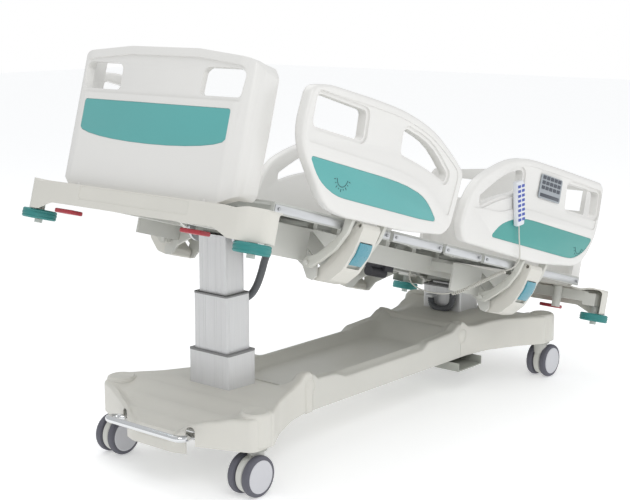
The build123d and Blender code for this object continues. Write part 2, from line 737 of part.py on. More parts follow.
def handset_cord():
    """Lead from the hand control under the rail, its curled middle, and its lead to the beam."""
    down = Vector(0, 0, -1).rotate(Axis.Y, handset_turn)
    top = Vector(*handset_at) + down * handset_size[2] / 2
    knee = top + down * 30
    start = [tuple(top), tuple(knee), (326, 510, 212), (340, 511, 180), (352, 508, 152),
             (361, 490, 128), (366, 462, 110)]
    curl = [(364, 450, 104), (362, 438, 98), (340, 424, 82), (305, 414, 62), (268, 402, 40),
            (235, 385, 16), (216, 355, -6), (211, 335, -12)]
    last = [(211, 335, -12), (206, 315, -18), (199, 270, -22), (193, 225, -20), (191, 180, -10),
            (190, beam_y, 12), (190, beam_y, 45 - gap)]
    start.append(curl[0])
    cord = tube_along(start, lead_radius) + tube_along(curl, curl_radius)
    return cord + tube_along(last, lead_radius)


def membrane_panel():
    y = half_width + rail_thick / 2
    u = 0.472 * half_length
    return slab_y([(u - 82, 397), (u - 80, 486), (u + 80, 486), (u + 82, 397)], 8, y, y + 2)


# ---------------------------------------------------------------- every named piece
def lifted(part, which, stages):
    height = stages * stroke if which == "foot" else 0
    return Pos(column_x[which], 0, height) * part


def sided(part, s):
    """A piece drawn on the right, on either side."""
    return part if s == "right" else mirror(part, about=Plane.XZ)


nodes = {
    "base_frame": base_frame(),
    "foot_base_cover": base_cover("foot"),
    "centre_tray": centre_tray(),
    "head_base_cover": base_cover("head"),
    "brake_bar": brake_bar(),
}
for which in ("foot", "head"):
    nodes[which + "_column_outer"] = Pos(column_x[which], 0, 0) * column_outer()
    nodes[which + "_column_middle"] = lifted(column_middle(), which, 1)
    nodes[which + "_column_inner"] = lifted(column_inner(which == "head"), which, 2)
    for s in side:
        place = Pos(caster_x(which), side[s] * caster_half_y, 0)
        nodes[f"{s}_{which}_caster_fork"] = place * caster_fork(which)
        nodes[f"{s}_{which}_caster_wheels"] = place * caster_wheels(which)

nodes["head_column_outer"] += Pos(column_x["head"], 0, 0) * hose_sockets()
nodes["head_column_hose"] = Pos(column_x["head"], 0, 0) * tube_along(hose_route, hose_radius)

back_u = waist_u - back_pin_drop * tan(radians(back_angle / 2))
knee_pin_u = hip_u + knee_pin_drop * tan(radians(knee_angle / 2))
back_drive = actuator(back_u, 1, -actuator_y, deck_axis_w - back_pin_drop, -180)
knee_drive = actuator(knee_pin_u, -1, actuator_y, deck_axis_w - knee_pin_drop, 330)
upper = {
    "upper_frame": upper_frame(),
    "trunnion_shaft": trunnion_shaft(),
    "foot_end_cover": end_cover("foot"),
    "head_end_cover": end_cover("head"),
    "seat_panel": seat_panel(),
    "backrest_panel": backrest_panel(),
    "thigh_panel": thigh_panel(),
    "calf_panel": calf_panel(),
    "back_actuator": back_drive[0],
    "back_actuator_rod": back_drive[1],
    "knee_actuator": knee_drive[0],
    "knee_actuator_rod": knee_drive[1],
    "control_box": control_box(),
    "footboard": board("foot"),
    "headboard": board("head"),
    "footboard_insert": board_insert("foot"),
    "headboard_insert": board_insert("head"),
    "handset": sided(handset(), "left"),
    "handset_cord": sided(handset_cord(), "left"),
    "membrane_panel": sided(membrane_panel(), "left"),
}
for which in ("foot", "head"):
    for s in ("left", "right"):
        upper[f"{s}_{which}_rail"] = sided(side_rail(which), s)
        upper[f"{s}_{which}_rail_side_arms"] = sided(side_arms(which), s)
        upper[f"{s}_{which}_rail_centre_arm"] = sided(centre_arm(which), s)
        upper[f"{s}_{which}_rail_handle"] = sided(release_handle(which), s)
        upper[f"{s}_{which}_bumper"] = bumper_roller(which, s)
for name, part in upper.items():
    nodes[name] = frame_place() * part

boxes = [part.bounding_box() for part in nodes.values()]
middle_x = (min(box.min.X for box in boxes) + max(box.max.X for box in boxes)) / 2
print("moved along X by", -middle_x)
for name, part in nodes.items():
    export_step(Pos(-middle_x, 0, 0) * part, f"parts/{name}.step")
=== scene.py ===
"""Looks of the adjustable hospital bed: moulded shells, inserts, fittings and finishes on its frame.

Pieces are modelled in millimetres, either over the base (x, y, z) or level in the upper
assembly's own frame (u, y, w), and are settled into the row frame as their last step.
"""

import bmesh
import bpy
import json
from math import ceil, cos, degrees, pi, radians, sin, tan
from mathutils import Matrix, Vector


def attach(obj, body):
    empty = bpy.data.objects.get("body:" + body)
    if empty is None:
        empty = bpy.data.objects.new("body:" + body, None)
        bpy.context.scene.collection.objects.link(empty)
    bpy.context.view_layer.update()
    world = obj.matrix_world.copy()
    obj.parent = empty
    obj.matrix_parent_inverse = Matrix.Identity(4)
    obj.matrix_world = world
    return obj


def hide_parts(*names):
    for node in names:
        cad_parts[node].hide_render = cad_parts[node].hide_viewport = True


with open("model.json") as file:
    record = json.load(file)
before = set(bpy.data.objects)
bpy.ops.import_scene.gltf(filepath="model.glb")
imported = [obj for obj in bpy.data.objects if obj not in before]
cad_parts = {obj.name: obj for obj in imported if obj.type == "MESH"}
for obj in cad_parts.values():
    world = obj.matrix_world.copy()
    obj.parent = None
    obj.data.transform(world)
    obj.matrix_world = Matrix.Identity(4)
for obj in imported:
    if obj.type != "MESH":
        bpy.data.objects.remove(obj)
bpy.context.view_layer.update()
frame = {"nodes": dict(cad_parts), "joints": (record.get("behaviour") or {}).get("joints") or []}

# ---------------------------------------------------------------- sizes, mm
HALF_LENGTH = 1065      # bed centre to bumper axis
HALF_WIDTH = 476
FOOT_COLUMN_X = -659
HEAD_COLUMN_X = 689
FOOT_PIVOT = (-701.55, 0, 56)
CASTER_HALF_Y = HALF_WIDTH - 167
CASTER_X = {"foot": FOOT_COLUMN_X - 173, "head": HEAD_COLUMN_X + 207}
CASTER_TRAIL = 24
WHEEL_RADIUS = 66.4
TRAY_HALF = 205
SEAM_REACH = 226
BOARD_HALF = HALF_WIDTH - 84
BOARD_FACE = HALF_LENGTH + 27
BOARD_THICK = 28
RAIL_INSIDE = HALF_WIDTH - 21
RAIL_OUTSIDE = HALF_WIDTH + 21
RAIL_MIDDLE = {"foot": -540, "head": 520}
ARM_LOW = (HALF_WIDTH - 151, -5)
COVER_FACE = HALF_LENGTH + 57
DECK_HALF = HALF_WIDTH - 39
HANDSET_AT = (274.77, 351)   # hand control's middle, in the upper frame
HANDSET_TURN = -20
HANDSET_FACE = 521.0
LEAD_START = [(302.99, -509, 273.47), (313.25, -509, 245.28), (326, -510, 212), (340, -511, 180),
              (352, -508, 152), (361, -490, 128), (366, -462, 110)]
LEAD_CURL = [(364, -450, 104), (362, -438, 98), (340, -424, 82), (305, -414, 62), (268, -402, 40),
             (235, -385, 16), (216, -355, -6), (211, -335, -12)]
LEAD_LAST = [(206, -315, -18), (199, -270, -22), (193, -225, -20), (191, -180, -10),
             (190, -150, 12), (190, -150, 44.7)]
FOOT_CONDUIT = [(-603, -50, 548), (-578, -52, 550), (-556, -62, 580), (-548, -78, 630),
                (-556, -100, 680), (-566, -128, 715), (-566, -140, 743)]
HOSE_ROUTE = [(-83, -66, 366), (-83, -66, 330), (-84, -52, 300), (-84, -14, 289), (-84, 20, 292),
              (-83, 40, 308), (-83, 40, 332)]
END = {"foot": -1, "head": 1}
SIDE = {"left": -1, "right": 1}

# ---------------------------------------------------------------- the two modelling frames
joint = {j["name"]: j for j in frame["joints"]}
tilt = -radians(joint["frame_tilt"]["range_deg"][0])
pivot = Vector(joint["frame_tilt"]["pos_m"])
MM = Matrix.Scale(0.001, 4)
BASE = Matrix.Translation((pivot.x - 0.001 * FOOT_COLUMN_X, 0, 0)) @ MM
UPPER = (Matrix.Translation(pivot) @ Matrix.Rotation(tilt, 4, "Y") @ MM
         @ Matrix.Translation(-Vector(FOOT_PIVOT)))


# ---------------------------------------------------------------- bench tools
def only(obj):
    bpy.ops.object.select_all(action="DESELECT")
    obj.select_set(True)
    bpy.context.view_layer.objects.active = obj


def enter(obj, everything=False):
    """Edit mode, with all or nothing selected."""
    only(obj)
    bpy.ops.object.mode_set(mode="EDIT")
    bpy.ops.mesh.select_all(action="SELECT" if everything else "DESELECT")


def leave():
    bpy.ops.object.mode_set(mode="OBJECT")


def apply(obj, kind, **settings):
    """Adds a modifier with these settings and applies it."""
    only(obj)
    modifier = obj.modifiers.new(kind.lower(), kind)
    for key, value in settings.items():
        setattr(modifier, key, value)
    bpy.ops.object.modifier_apply(modifier=modifier.name)
    return obj


def soften(obj, width, rings=3, angle=30, clamp=True):
    """Rounds every edge that turns more than the angle."""
    return apply(obj, "BEVEL", width=width, segments=rings, limit_method="ANGLE",
                 angle_limit=radians(angle), use_clamp_overlap=clamp)


def cut(obj, *cutters, mode="DIFFERENCE"):
    for cutter in cutters:
        apply(obj, "BOOLEAN", operation=mode, object=cutter, solver="EXACT")
        bpy.data.objects.remove(cutter)
    return obj


def outward(obj):
    enter(obj, everything=True)
    bpy.ops.mesh.remove_doubles(threshold=0.005)
    bpy.ops.mesh.normals_make_consistent(inside=False)
    leave()
    return obj


def rounded(points, radii, step=9):
    """Closed outline through the points, each corner turned on its own radius."""
    if not isinstance(radii, (list, tuple)):
        radii = [radii] * len(points)
    outline = []
    for i, radius in enumerate(radii):
        corner = Vector(points[i])
        back = Vector(points[i - 1]) - corner
        on = Vector(points[(i + 1) % len(points)]) - corner
        turn = pi - back.angle(on)
        if radius == 0 or turn < 0.02:
            outline.append(corner)
            continue
        reach = min(radius * tan(turn / 2), 0.49 * back.length, 0.49 * on.length)
        back.normalize()
        on.normalize()
        centre = corner + (back + on).normalized() * (reach / sin(turn / 2))
        start = corner + back * reach - centre
        sweep = -start.angle_signed(corner + on * reach - centre)
        count = max(2, ceil(degrees(turn) / step))
        for k in range(count + 1):
            outline.append(centre + Matrix.Rotation(sweep * k / count, 2) @ start)
    return outline


def shrunk(outline, by):
    """A closed outline moved inwards, or outwards where by is negative."""
    area = sum(a.x * b.y - b.x * a.y for a, b in zip(outline, outline[1:] + outline[:1]))
    hand = 1 if area > 0 else -1
    moved = []
    for i, point in enumerate(outline):
        along = (outline[(i + 1) % len(outline)] - outline[i - 1]).normalized()
        moved.append(point + hand * by * Vector((-along.y, along.x)))
    return moved


AXES = {
    "X": lambda a, b, h: (h, a, b),
    "Y": lambda a, b, h: (a, h, b),
    "Z": lambda a, b, h: (a, b, h),
}


def ring(outline, axis, level):
    """Circle of vertices moved onto an outline."""
    bpy.ops.object.select_all(action="DESELECT")
    bpy.ops.mesh.primitive_circle_add(vertices=len(outline), fill_type="NGON")
    obj = bpy.context.object
    for vertex, (a, b) in zip(obj.data.vertices, outline):
        vertex.co = AXES[axis](a, b, level)
    return obj


def plate(name, outline, axis, low, high, edge=0, rings=3):
    """Plate of a given outline between two levels, with softened edges."""
    obj = ring(outline, axis, low)
    obj.name = name
    enter(obj, everything=True)
    bpy.ops.mesh.extrude_region_move(
        TRANSFORM_OT_translate={"value": AXES[axis](0, 0, high - low)})
    leave()
    outward(obj)
    return soften(obj, edge, rings) if edge else obj


def turned(name, profile, axis, centre=(0, 0, 0), steps=40):
    """Solid turned about an axis from a closed (radius, height) profile."""
    bpy.ops.object.select_all(action="DESELECT")
    bpy.ops.mesh.primitive_circle_add(vertices=len(profile), fill_type="NOTHING")
    obj = bpy.context.object
    obj.name = name
    spots = {"X": lambda r, h: (h, r, 0), "Y": lambda r, h: (r, h, 0), "Z": lambda r, h: (r, 0, h)}
    for vertex, (r, h) in zip(obj.data.vertices, profile):
        vertex.co = Vector(centre) + Vector(spots[axis](r, h))
    enter(obj, everything=True)
    direction = AXES[axis](0, 0, 1)
    bpy.ops.mesh.spin(steps=steps, angle=2 * pi, center=centre, axis=direction)
    leave()
    return outward(obj)


def bar(name, start, stop, radius, sides=24, edge=0):
    """Round bar between two points."""
    start, stop = Vector(start), Vector(stop)
    along = stop - start
    bpy.ops.object.select_all(action="DESELECT")
    bpy.ops.mesh.primitive_cylinder_add(vertices=sides, radius=radius, depth=along.length)
    obj = bpy.context.object
    obj.name = name
    turn = Vector((0, 0, 1)).rotation_difference(along).to_matrix().to_4x4()
    obj.data.transform(Matrix.Translation((start + stop) / 2) @ turn)
    return soften(obj, edge, 2) if edge else obj


def block(name, low, high, edge=0, rings=2):
    """Box between two corners, edges softened."""
    low, high = Vector(low), Vector(high)
    bpy.ops.object.select_all(action="DESELECT")
    bpy.ops.mesh.primitive_cube_add(size=1)
    obj = bpy.context.object
    obj.name = name
    size = high - low
    obj.data.transform(Matrix.Translation((low + high) / 2) @ Matrix.Diagonal((*size, 1)))
    return soften(obj, edge, rings) if edge else obj


def joined(name, parts):
    """Several shapes as one piece."""
    bpy.ops.object.select_all(action="DESELECT")
    for part in parts:
        part.select_set(True)
    bpy.context.view_layer.objects.active = parts[0]
    bpy.ops.object.join()
    parts[0].name = name
    return parts[0]


def copy_of(obj, name, move=None, mirrored=False):
    """A copy with its own mesh, moved or mirrored across the bed."""
    copy = bpy.data.objects.new(name, obj.data.copy())
    bpy.context.scene.collection.objects.link(copy)
    if move is not None:
        copy.data.transform(Matrix.Translation(move))
    if mirrored:
        copy.data.transform(Matrix.Scale(-1, 4, (0, 1, 0)))
        copy.data.flip_normals()
    return copy


def welded(node, name, place):
    """Merged copy of a CAD node in its modelling frame, flat faces made whole."""
    obj = bpy.data.objects.new(name, frame["nodes"][node].data.copy())
    bpy.context.scene.collection.objects.link(obj)
    obj.data.transform(place.inverted())
    obj.data.materials.clear()
    only(obj)
    bpy.ops.mesh.customdata_custom_splitnormals_clear()
    enter(obj, everything=True)
    bpy.ops.mesh.remove_doubles(threshold=0.02)
    bpy.ops.mesh.dissolve_limited(angle_limit=radians(0.6))
    bpy.ops.mesh.normals_make_consistent(inside=False)
    leave()
    return obj


def settle(obj, place, body, material, slot, *nodes, smooth=35):
    """Finishes a piece: into the row frame, with its finish, on its body."""
    obj.data.transform(place)
    obj.data.materials.clear()
    obj.data.materials.append(material)
    obj.data.polygons.foreach_set("material_index", [0] * len(obj.data.polygons))
    only(obj)
    bpy.ops.object.shade_smooth_by_angle(angle=radians(smooth))
    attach(obj, body)
    if nodes:
        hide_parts(*nodes)
    return obj


# ---------------------------------------------------------------- finishes
def effect(name, inputs, outputs):
    """Empty shader node group with named sockets."""
    tree = bpy.data.node_groups.new(name, "ShaderNodeTree")
    for socket, (kind, value) in inputs.items():
        made = tree.interface.new_socket(socket, in_out="INPUT", socket_type=kind)
        made.default_value = value
    for socket, kind in outputs.items():
        tree.interface.new_socket(socket, in_out="OUTPUT", socket_type=kind)
    return tree, tree.nodes.new("NodeGroupInput"), tree.nodes.new("NodeGroupOutput")


def noise(tree, vector, scale, detail=2.0):
    node = tree.nodes.new("ShaderNodeTexNoise")
    node.inputs["Detail"].default_value = detail
    tree.links.new(vector, node.inputs["Vector"])
    if isinstance(scale, (int, float)):
        node.inputs["Scale"].default_value = scale
    else:
        tree.links.new(scale, node.inputs["Scale"])
    return node.outputs["Fac"]


def maths(tree, operation, a, b):
    node = tree.nodes.new("ShaderNodeMath")
    node.operation = operation
    for i, value in enumerate((a, b)):
        if isinstance(value, (int, float)):
            node.inputs[i].default_value = value
        else:
            tree.links.new(value, node.inputs[i])
    return node.outputs[0]


def mix_colour(tree, factor, a, b):
    node = tree.nodes.new("ShaderNodeMix")
    node.data_type = "RGBA"
    tree.links.new(factor, node.inputs["Factor"])
    for socket, value in (("A", a), ("B", b)):
        slot_in = [s for s in node.inputs if s.name == socket and s.type == "RGBA"][0]
        if isinstance(value, tuple):
            slot_in.default_value = value
        else:
            tree.links.new(value, slot_in)
    return [s for s in node.outputs if s.type == "RGBA"][0]


def moulded_effect():
    """Plastic from a tool: slow shading in the colour, fine spark-eroded grain."""
    tree, start, stop = effect(
        "moulded_surface",
        {"Colour": ("NodeSocketColor", (0.8, 0.8, 0.8, 1)), "Shade": ("NodeSocketColor", (0.7, 0.7, 0.7, 1)),
         "Roughness": ("NodeSocketFloat", 0.4), "Grain": ("NodeSocketFloat", 900.0)},
        {"Colour": "NodeSocketColor", "Roughness": "NodeSocketFloat", "Height": "NodeSocketFloat"})
    where = tree.nodes.new("ShaderNodeTexCoord").outputs["Object"]
    cloud = noise(tree, where, 3.0, 3.0)
    smudge = noise(tree, where, 14.0, 4.0)
    fine = noise(tree, where, start.outputs["Grain"], 3.0)
    mask = maths(tree, "MULTIPLY", maths(tree, "POWER", cloud, 2.0), 0.9)
    tree.links.new(mix_colour(tree, mask, start.outputs["Colour"], start.outputs["Shade"]),
                   stop.inputs["Colour"])
    spread = maths(tree, "MULTIPLY", maths(tree, "SUBTRACT", smudge, 0.5), 0.22)
    tree.links.new(maths(tree, "ADD", start.outputs["Roughness"], spread), stop.inputs["Roughness"])
    tree.links.new(fine, stop.inputs["Height"])
    return tree


def drawn_effect():
    """Extruded or ground metal: streaks along one axis."""
    tree, start, stop = effect(
        "drawn_metal",
        {"Colour": ("NodeSocketColor", (0.8, 0.8, 0.8, 1)), "Roughness": ("NodeSocketFloat", 0.35),
         "Stretch": ("NodeSocketVector", (1.0, 1.0, 0.03)), "Scale": ("NodeSocketFloat", 500.0)},
        {"Colour": "NodeSocketColor", "Roughness": "NodeSocketFloat", "Height": "NodeSocketFloat"})
    where = tree.nodes.new("ShaderNodeTexCoord").outputs["Object"]
    scale = tree.nodes.new("ShaderNodeVectorMath")
    scale.operation = "MULTIPLY"
    tree.links.new(where, scale.inputs[0])
    tree.links.new(start.outputs["Stretch"], scale.inputs[1])
    streak = noise(tree, scale.outputs[0], start.outputs["Scale"], 4.0)
    patch = noise(tree, where, 9.0, 3.0)
    dark = mix_colour(tree, maths(tree, "MULTIPLY", streak, 0.22), start.outputs["Colour"],
                      (0.35, 0.36, 0.38, 1))
    tree.links.new(dark, stop.inputs["Colour"])
    spread = maths(tree, "MULTIPLY", maths(tree, "SUBTRACT", streak, 0.5), 0.25)
    spread = maths(tree, "ADD", spread, maths(tree, "MULTIPLY", maths(tree, "SUBTRACT", patch, 0.5), 0.15))
    tree.links.new(maths(tree, "ADD", start.outputs["Roughness"], spread), stop.inputs["Roughness"])
    tree.links.new(streak, stop.inputs["Height"])
    return tree


MOULDED, DRAWN = moulded_effect(), drawn_effect()


def finish(name, tree, bump, shader=(), **values):
    """Material: one effect group into a Principled shader."""
    material = bpy.data.materials.new(name)
    material.use_nodes = True
    nodes, links = material.node_tree.nodes, material.node_tree.links
    principled = nodes["Principled BSDF"]
    for socket, value in dict(shader).items():
        principled.inputs[socket].default_value = value
    group = nodes.new("ShaderNodeGroup")
    group.node_tree = tree
    for socket, value in values.items():
        group.inputs[socket].default_value = value
    lift = nodes.new("ShaderNodeBump")
    lift.inputs["Strength"].default_value = bump[0]
    lift.inputs["Distance"].default_value = bump[1]
    links.new(group.outputs["Height"], lift.inputs["Height"])
    links.new(lift.outputs["Normal"], principled.inputs["Normal"])
    links.new(group.outputs["Colour"], principled.inputs["Base Color"])
    links.new(group.outputs["Roughness"], principled.inputs["Roughness"])
    return material


def plastic(name, colour, roughness=0.4, shade=0.88, grain=900.0, bump=0.12, coat=0.0):
    dark = tuple(c * shade for c in colour)
    return finish(name, MOULDED, (bump, 0.0004), {"Coat Weight": coat, "Coat Roughness": 0.15},
                  Colour=(*colour, 1), Shade=(*dark, 1), Roughness=roughness, Grain=grain)


def metal(name, colour, roughness=0.35, stretch=(1, 1, 0.03), bump=0.15, scale=500.0):
    return finish(name, DRAWN, (bump, 0.0003), {"Metallic": 1.0}, Colour=(*colour, 1),
                  Roughness=roughness, Stretch=stretch, Scale=scale)


board_white = plastic("board_white", (0.79, 0.78, 0.755), 0.34, 0.93, coat=0.25)
shell_ivory = plastic("shell_ivory", (0.70, 0.685, 0.63), 0.42, 0.9)
tray_ivory = plastic("tray_ivory", (0.66, 0.65, 0.60), 0.36, 0.86, coat=0.2)
insert_teal = plastic("insert_teal", (0.115, 0.42, 0.41), 0.36, 0.88, grain=1400.0)
rail_teal = plastic("rail_teal", (0.075, 0.36, 0.33), 0.38, 0.88, grain=1400.0)
bumper_teal = plastic("bumper_teal", (0.03, 0.24, 0.23), 0.5, 0.8, grain=700.0, bump=0.3)
handle_blue = plastic("handle_blue", (0.07, 0.30, 0.38), 0.28, 0.88, coat=0.5)
# Base frame and crossheads: the grey-green paint of the arms and beams, darkened with painted shade because
# they sit in shadow under the covers and deck.
frame_paint = plastic("frame_paint", (0.42, 0.43, 0.39), 0.38, 0.85, grain=260.0, bump=0.1)
arm_paint = plastic("arm_paint", (0.62, 0.62, 0.57), 0.34, 0.9, grain=260.0, bump=0.1, coat=0.2)
beam_paint = plastic("beam_paint", (0.66, 0.66, 0.62), 0.36, 0.9, grain=260.0, bump=0.1, coat=0.2)
deck_grey = plastic("deck_grey", (0.52, 0.53, 0.50), 0.5, 0.85)
tyre_grey = plastic("tyre_grey", (0.12, 0.12, 0.145), 0.62, 0.8, grain=500.0, bump=0.35)
disc_grey = plastic("disc_grey", (0.62, 0.62, 0.65), 0.35, 0.92, coat=0.2)
fork_ivory = plastic("fork_ivory", (0.62, 0.62, 0.58), 0.4, 0.9)
collar_dark = plastic("collar_dark", (0.07, 0.07, 0.08), 0.55, 0.8)
collar_grey = plastic("collar_grey", (0.24, 0.24, 0.24), 0.5, 0.85)
conduit_grey = plastic("conduit_grey", (0.12, 0.125, 0.135), 0.42, 0.75)
key_grey = plastic("key_grey", (0.36, 0.39, 0.42), 0.45, 0.9)
key_dark = plastic("key_dark", (0.06, 0.07, 0.09), 0.4, 0.9)
key_blue = plastic("key_blue", (0.05, 0.09, 0.42), 0.4, 0.9)
handset_white = plastic("handset_white", (0.76, 0.78, 0.82), 0.34, 0.94, coat=0.2)
latch_red = plastic("latch_red", (0.42, 0.035, 0.05), 0.4, 0.8)
ink = plastic("scale_ink", (0.03, 0.09, 0.10), 0.5, 0.9)
cord_ivory = plastic("cord_ivory", (0.62, 0.61, 0.56), 0.45, 0.85)
column_alu = finish("column_aluminium", DRAWN, (0.08, 0.0002), {"Metallic": 0.35},
                    Colour=(0.70, 0.70, 0.70, 1), Roughness=0.38, Stretch=(1, 1, 0.02), Scale=350.0)
band_alu = metal("band_aluminium", (0.62, 0.63, 0.64), 0.36, stretch=(0.03, 1, 1))
rod_steel = metal("ground_steel", (0.55, 0.56, 0.58), 0.28, stretch=(0.03, 1, 1))
bolt_zinc = metal("zinc_bolt", (0.45, 0.46, 0.47), 0.34, stretch=(1, 1, 1))
chrome = metal("chrome_bar", (0.78, 0.79, 0.80), 0.1, stretch=(1, 0.03, 1), bump=0.03)

# ---------------------------------------------------------------- CAD nodes that stay as they are
kept = {
    "base_frame": frame_paint, "brake_bar": chrome, "upper_frame": beam_paint,
    "trunnion_shaft": rod_steel, "seat_panel": deck_grey, "backrest_panel": deck_grey,
    "thigh_panel": deck_grey, "calf_panel": deck_grey, "back_actuator": collar_dark,
    "back_actuator_rod": rod_steel, "knee_actuator": collar_dark, "knee_actuator_rod": rod_steel,
}
for node, material in kept.items():
    mesh = frame["nodes"][node].data
    mesh.materials.clear()
    mesh.materials.append(material)


# ---------------------------------------------------------------- base
SEAM = {"foot": FOOT_COLUMN_X + SEAM_REACH, "head": HEAD_COLUMN_X - SEAM_REACH}
SADDLE = {
    "foot": [(-985, 160), (-968, 188), (-930, 212), (-860, 236), (-780, 256), (-720, 264), (-600, 262),
             (-540, 248), (-480, 222), (-433, 212)],
    "head": [(463, 262), (490, 271), (530, 276), (600, 284), (690, 285), (740, 280), (800, 266),
             (880, 250), (950, 236), (1032, 196), (1049, 168)],
}
SHOULDER = {
    "foot": [(-985, 196), (-959, 226), (-936, 238), (-910, 252), (-832, 262), (-760, 262), (-640, 258),
             (-560, 257), (-510, 266), (-458, 288), (-445, 288), (-433, 281)],
    "head": [(463, 285), (472, 290), (484, 288), (520, 266), (560, 262), (700, 270), (760, 266),
             (850, 264), (960, 258), (1010, 232), (1049, 200)],
}
TRAY_LEDGE = [(-432, 280), (-395, 256), (-316, 253), (-235, 231), (205, 231), (262, 254), (400, 260),
              (462, 284)]
TRAY_RIM = [(-432, 281), (-385, 256), (-250, 246), (250, 246), (400, 258), (462, 285)]
TRAY_FLOOR = [(-432, 212), (-380, 208), (330, 208), (462, 262)]
JOINT_X = {"foot": -450, "head": 474}
JOINT_Z = 235


def height_at(stations, x):
    """Height along a row of stations, with level tangents at each."""
    if x <= stations[0][0]:
        return stations[0][1]
    for (x0, z0), (x1, z1) in zip(stations, stations[1:]):
        if x <= x1:
            share = (x - x0) / (x1 - x0)
            return z0 + (z1 - z0) * share * share * (3 - 2 * share)
    return stations[-1][1]


def skin(name, columns, rows, place):
    """Grid of vertices, each put where place(column, row) says, with its seams welded."""
    bpy.ops.object.select_all(action="DESELECT")
    bpy.ops.mesh.primitive_grid_add(x_subdivisions=columns, y_subdivisions=rows, size=2)
    obj = bpy.context.object
    obj.name = name
    for vertex in obj.data.vertices:
        column = round((vertex.co.x + 1) / 2 * columns)
        row = round((vertex.co.y + 1) / 2 * rows)
        vertex.co = place(column, row)
    return outward(obj)


def spaced(outline, gap):
    """Closed outline with extra points, none further apart than the gap."""
    points = []
    for a, b in zip(outline, outline[1:] + outline[:1]):
        count = max(1, ceil((b - a).length / gap))
        points += [a.lerp(b, k / count) for k in range(count)]
    return points


def cover_plan(which):
    e, cx, seam, y = END[which], CASTER_X[which], SEAM[which], CASTER_HALF_Y
    nose = cx + e * 153
    half = [(nose, 90), (nose - e * 26, y - 149), (cx + e * 78, y - 20), (cx + e * 52, y + 38),
            (cx - e * 45, y + 38), (cx - e * 70, y + 20), (cx - e * 140, y - 25),
            (cx - e * 265, TRAY_HALF + 22), (seam + e * 40, TRAY_HALF), (seam, TRAY_HALF)]
    plan = half + [(px, -py) for px, py in reversed(half)]
    radii = [60, 60, 30, 34, 34, 40, 120, 200, 60, 0]
    return rounded(plan, radii + radii[::-1], 6)


def cover_skin(which):
    """Dished top that flows into the walls, open below."""
    e, radius = END[which], 10
    plan = spaced(cover_plan(which), 14)
    saddle, shoulder = SADDLE[which], SHOULDER[which]
    ends = sorted((SEAM[which] + e * 110, CASTER_X[which] + e * 60))

    def half_at(x):
        reach = [abs(a.y) for a in plan if abs(a.x - x) < 16]
        return max(reach) if reach else TRAY_HALF

    def top(point, edge):
        share = min(1, max(0, (abs(point.y) / edge - 0.55) / 0.33))
        rise = share * share * (3 - 2 * share)
        return (1 - rise) * height_at(saddle, point.x) + rise * height_at(shoulder, point.x)

    insets = [shrunk(plan, radius * (1 - cos(radians(a)))) for a in (30, 60, 90)]
    drops = [radius * (1 - sin(radians(a))) for a in (30, 60, 90)]
    shares = (0.05, 0.1, 0.16, 0.24, 0.33, 0.44, 0.56, 0.7, 0.85, 1)
    edges = [half_at(point.x) for point in plan]

    def place(column, row):
        i = column % len(plan)
        here = plan[i]
        if row == 0:
            nose_panel = e * (here.x - CASTER_X[which]) > 98 and abs(here.y) < 150 and which == "foot"
            return (here.x, here.y, 122 if nose_panel else 150)
        level = top(here, edges[i])
        if row == 1:
            return (here.x, here.y, level - radius)
        if row < 5:
            inner = insets[row - 2][i]
            return (inner.x, inner.y, level - drops[row - 2])
        start = insets[2][i]
        spine = Vector((min(max(here.x, ends[0]), ends[1]), 0))
        point = start.lerp(spine, shares[row - 5])
        return (point.x, point.y, top(point, edges[i] * 0.55 + half_at(point.x) * 0.45))

    cover = skin(which + "_cover_skin", len(plan), 4 + len(shares), place)
    return apply(cover, "SOLIDIFY", thickness=4, offset=-1)


def joint_disc(x, y):
    """Round joint between a cover and the tray, with a shallow ring around it."""
    hand = 1 if y > 0 else -1
    profile = [(0, -4), (0, 1.6), (25, 1.6), (26.5, 0.2), (27.5, -0.6), (28.6, 0.2), (30.5, 0.9),
               (32, 0.2), (32.5, -4)]
    return turned("joint_disc", [(r, hand * h) for r, h in profile], "Y", (x, y, JOINT_Z), 48)


def base_shells():
    for which in ("foot", "head"):
        e, node = END[which], which + "_base_cover"
        cover = cover_skin(which)
        parts = [cover]
        column = FOOT_COLUMN_X if which == "foot" else HEAD_COLUMN_X
        well = [(column - 64.5, -90.5), (column + 64.5, -90.5), (column + 64.5, 90.5), (column - 64.5, 90.5)]
        cut(cover, plate("column_well", well, "Z", 120, 330))
        if which == "foot":
            slot_outline = rounded([(135, 100), (165, 100), (165, 212), (135, 212)], [0, 0, 14, 14])
            for hand in (-1, 1):
                outline = [Vector((hand * v, z)) for v, z in slot_outline]
                cut(cover, plate("notch", outline, "X", -1010, -915))
        for y in (-CASTER_HALF_Y, CASTER_HALF_Y):
            post = [(0, 160), (50, 160), (50, 257), (47.6, 263.5), (41, 267), (38, 266), (0, 266)]
            parts.append(turned("post", post, "Z", (CASTER_X[which], y, 0), 56))
        for y in (-TRAY_HALF, TRAY_HALF):
            parts.append(joint_disc(JOINT_X[which], y))
            inside, outside = sorted((y * 0.98, y + (2 if y > 0 else -2)))
            if which == "foot":
                low, high = JOINT_X[which] - 20, SEAM[which] - 2
                parts.append(block("lug", (low, inside, 146), (high, outside, JOINT_Z), 1.5))
        settle(joined(node + "_shell", parts), BASE, "base", shell_ivory, "base_shell", node, smooth=45)
    tray_shell()


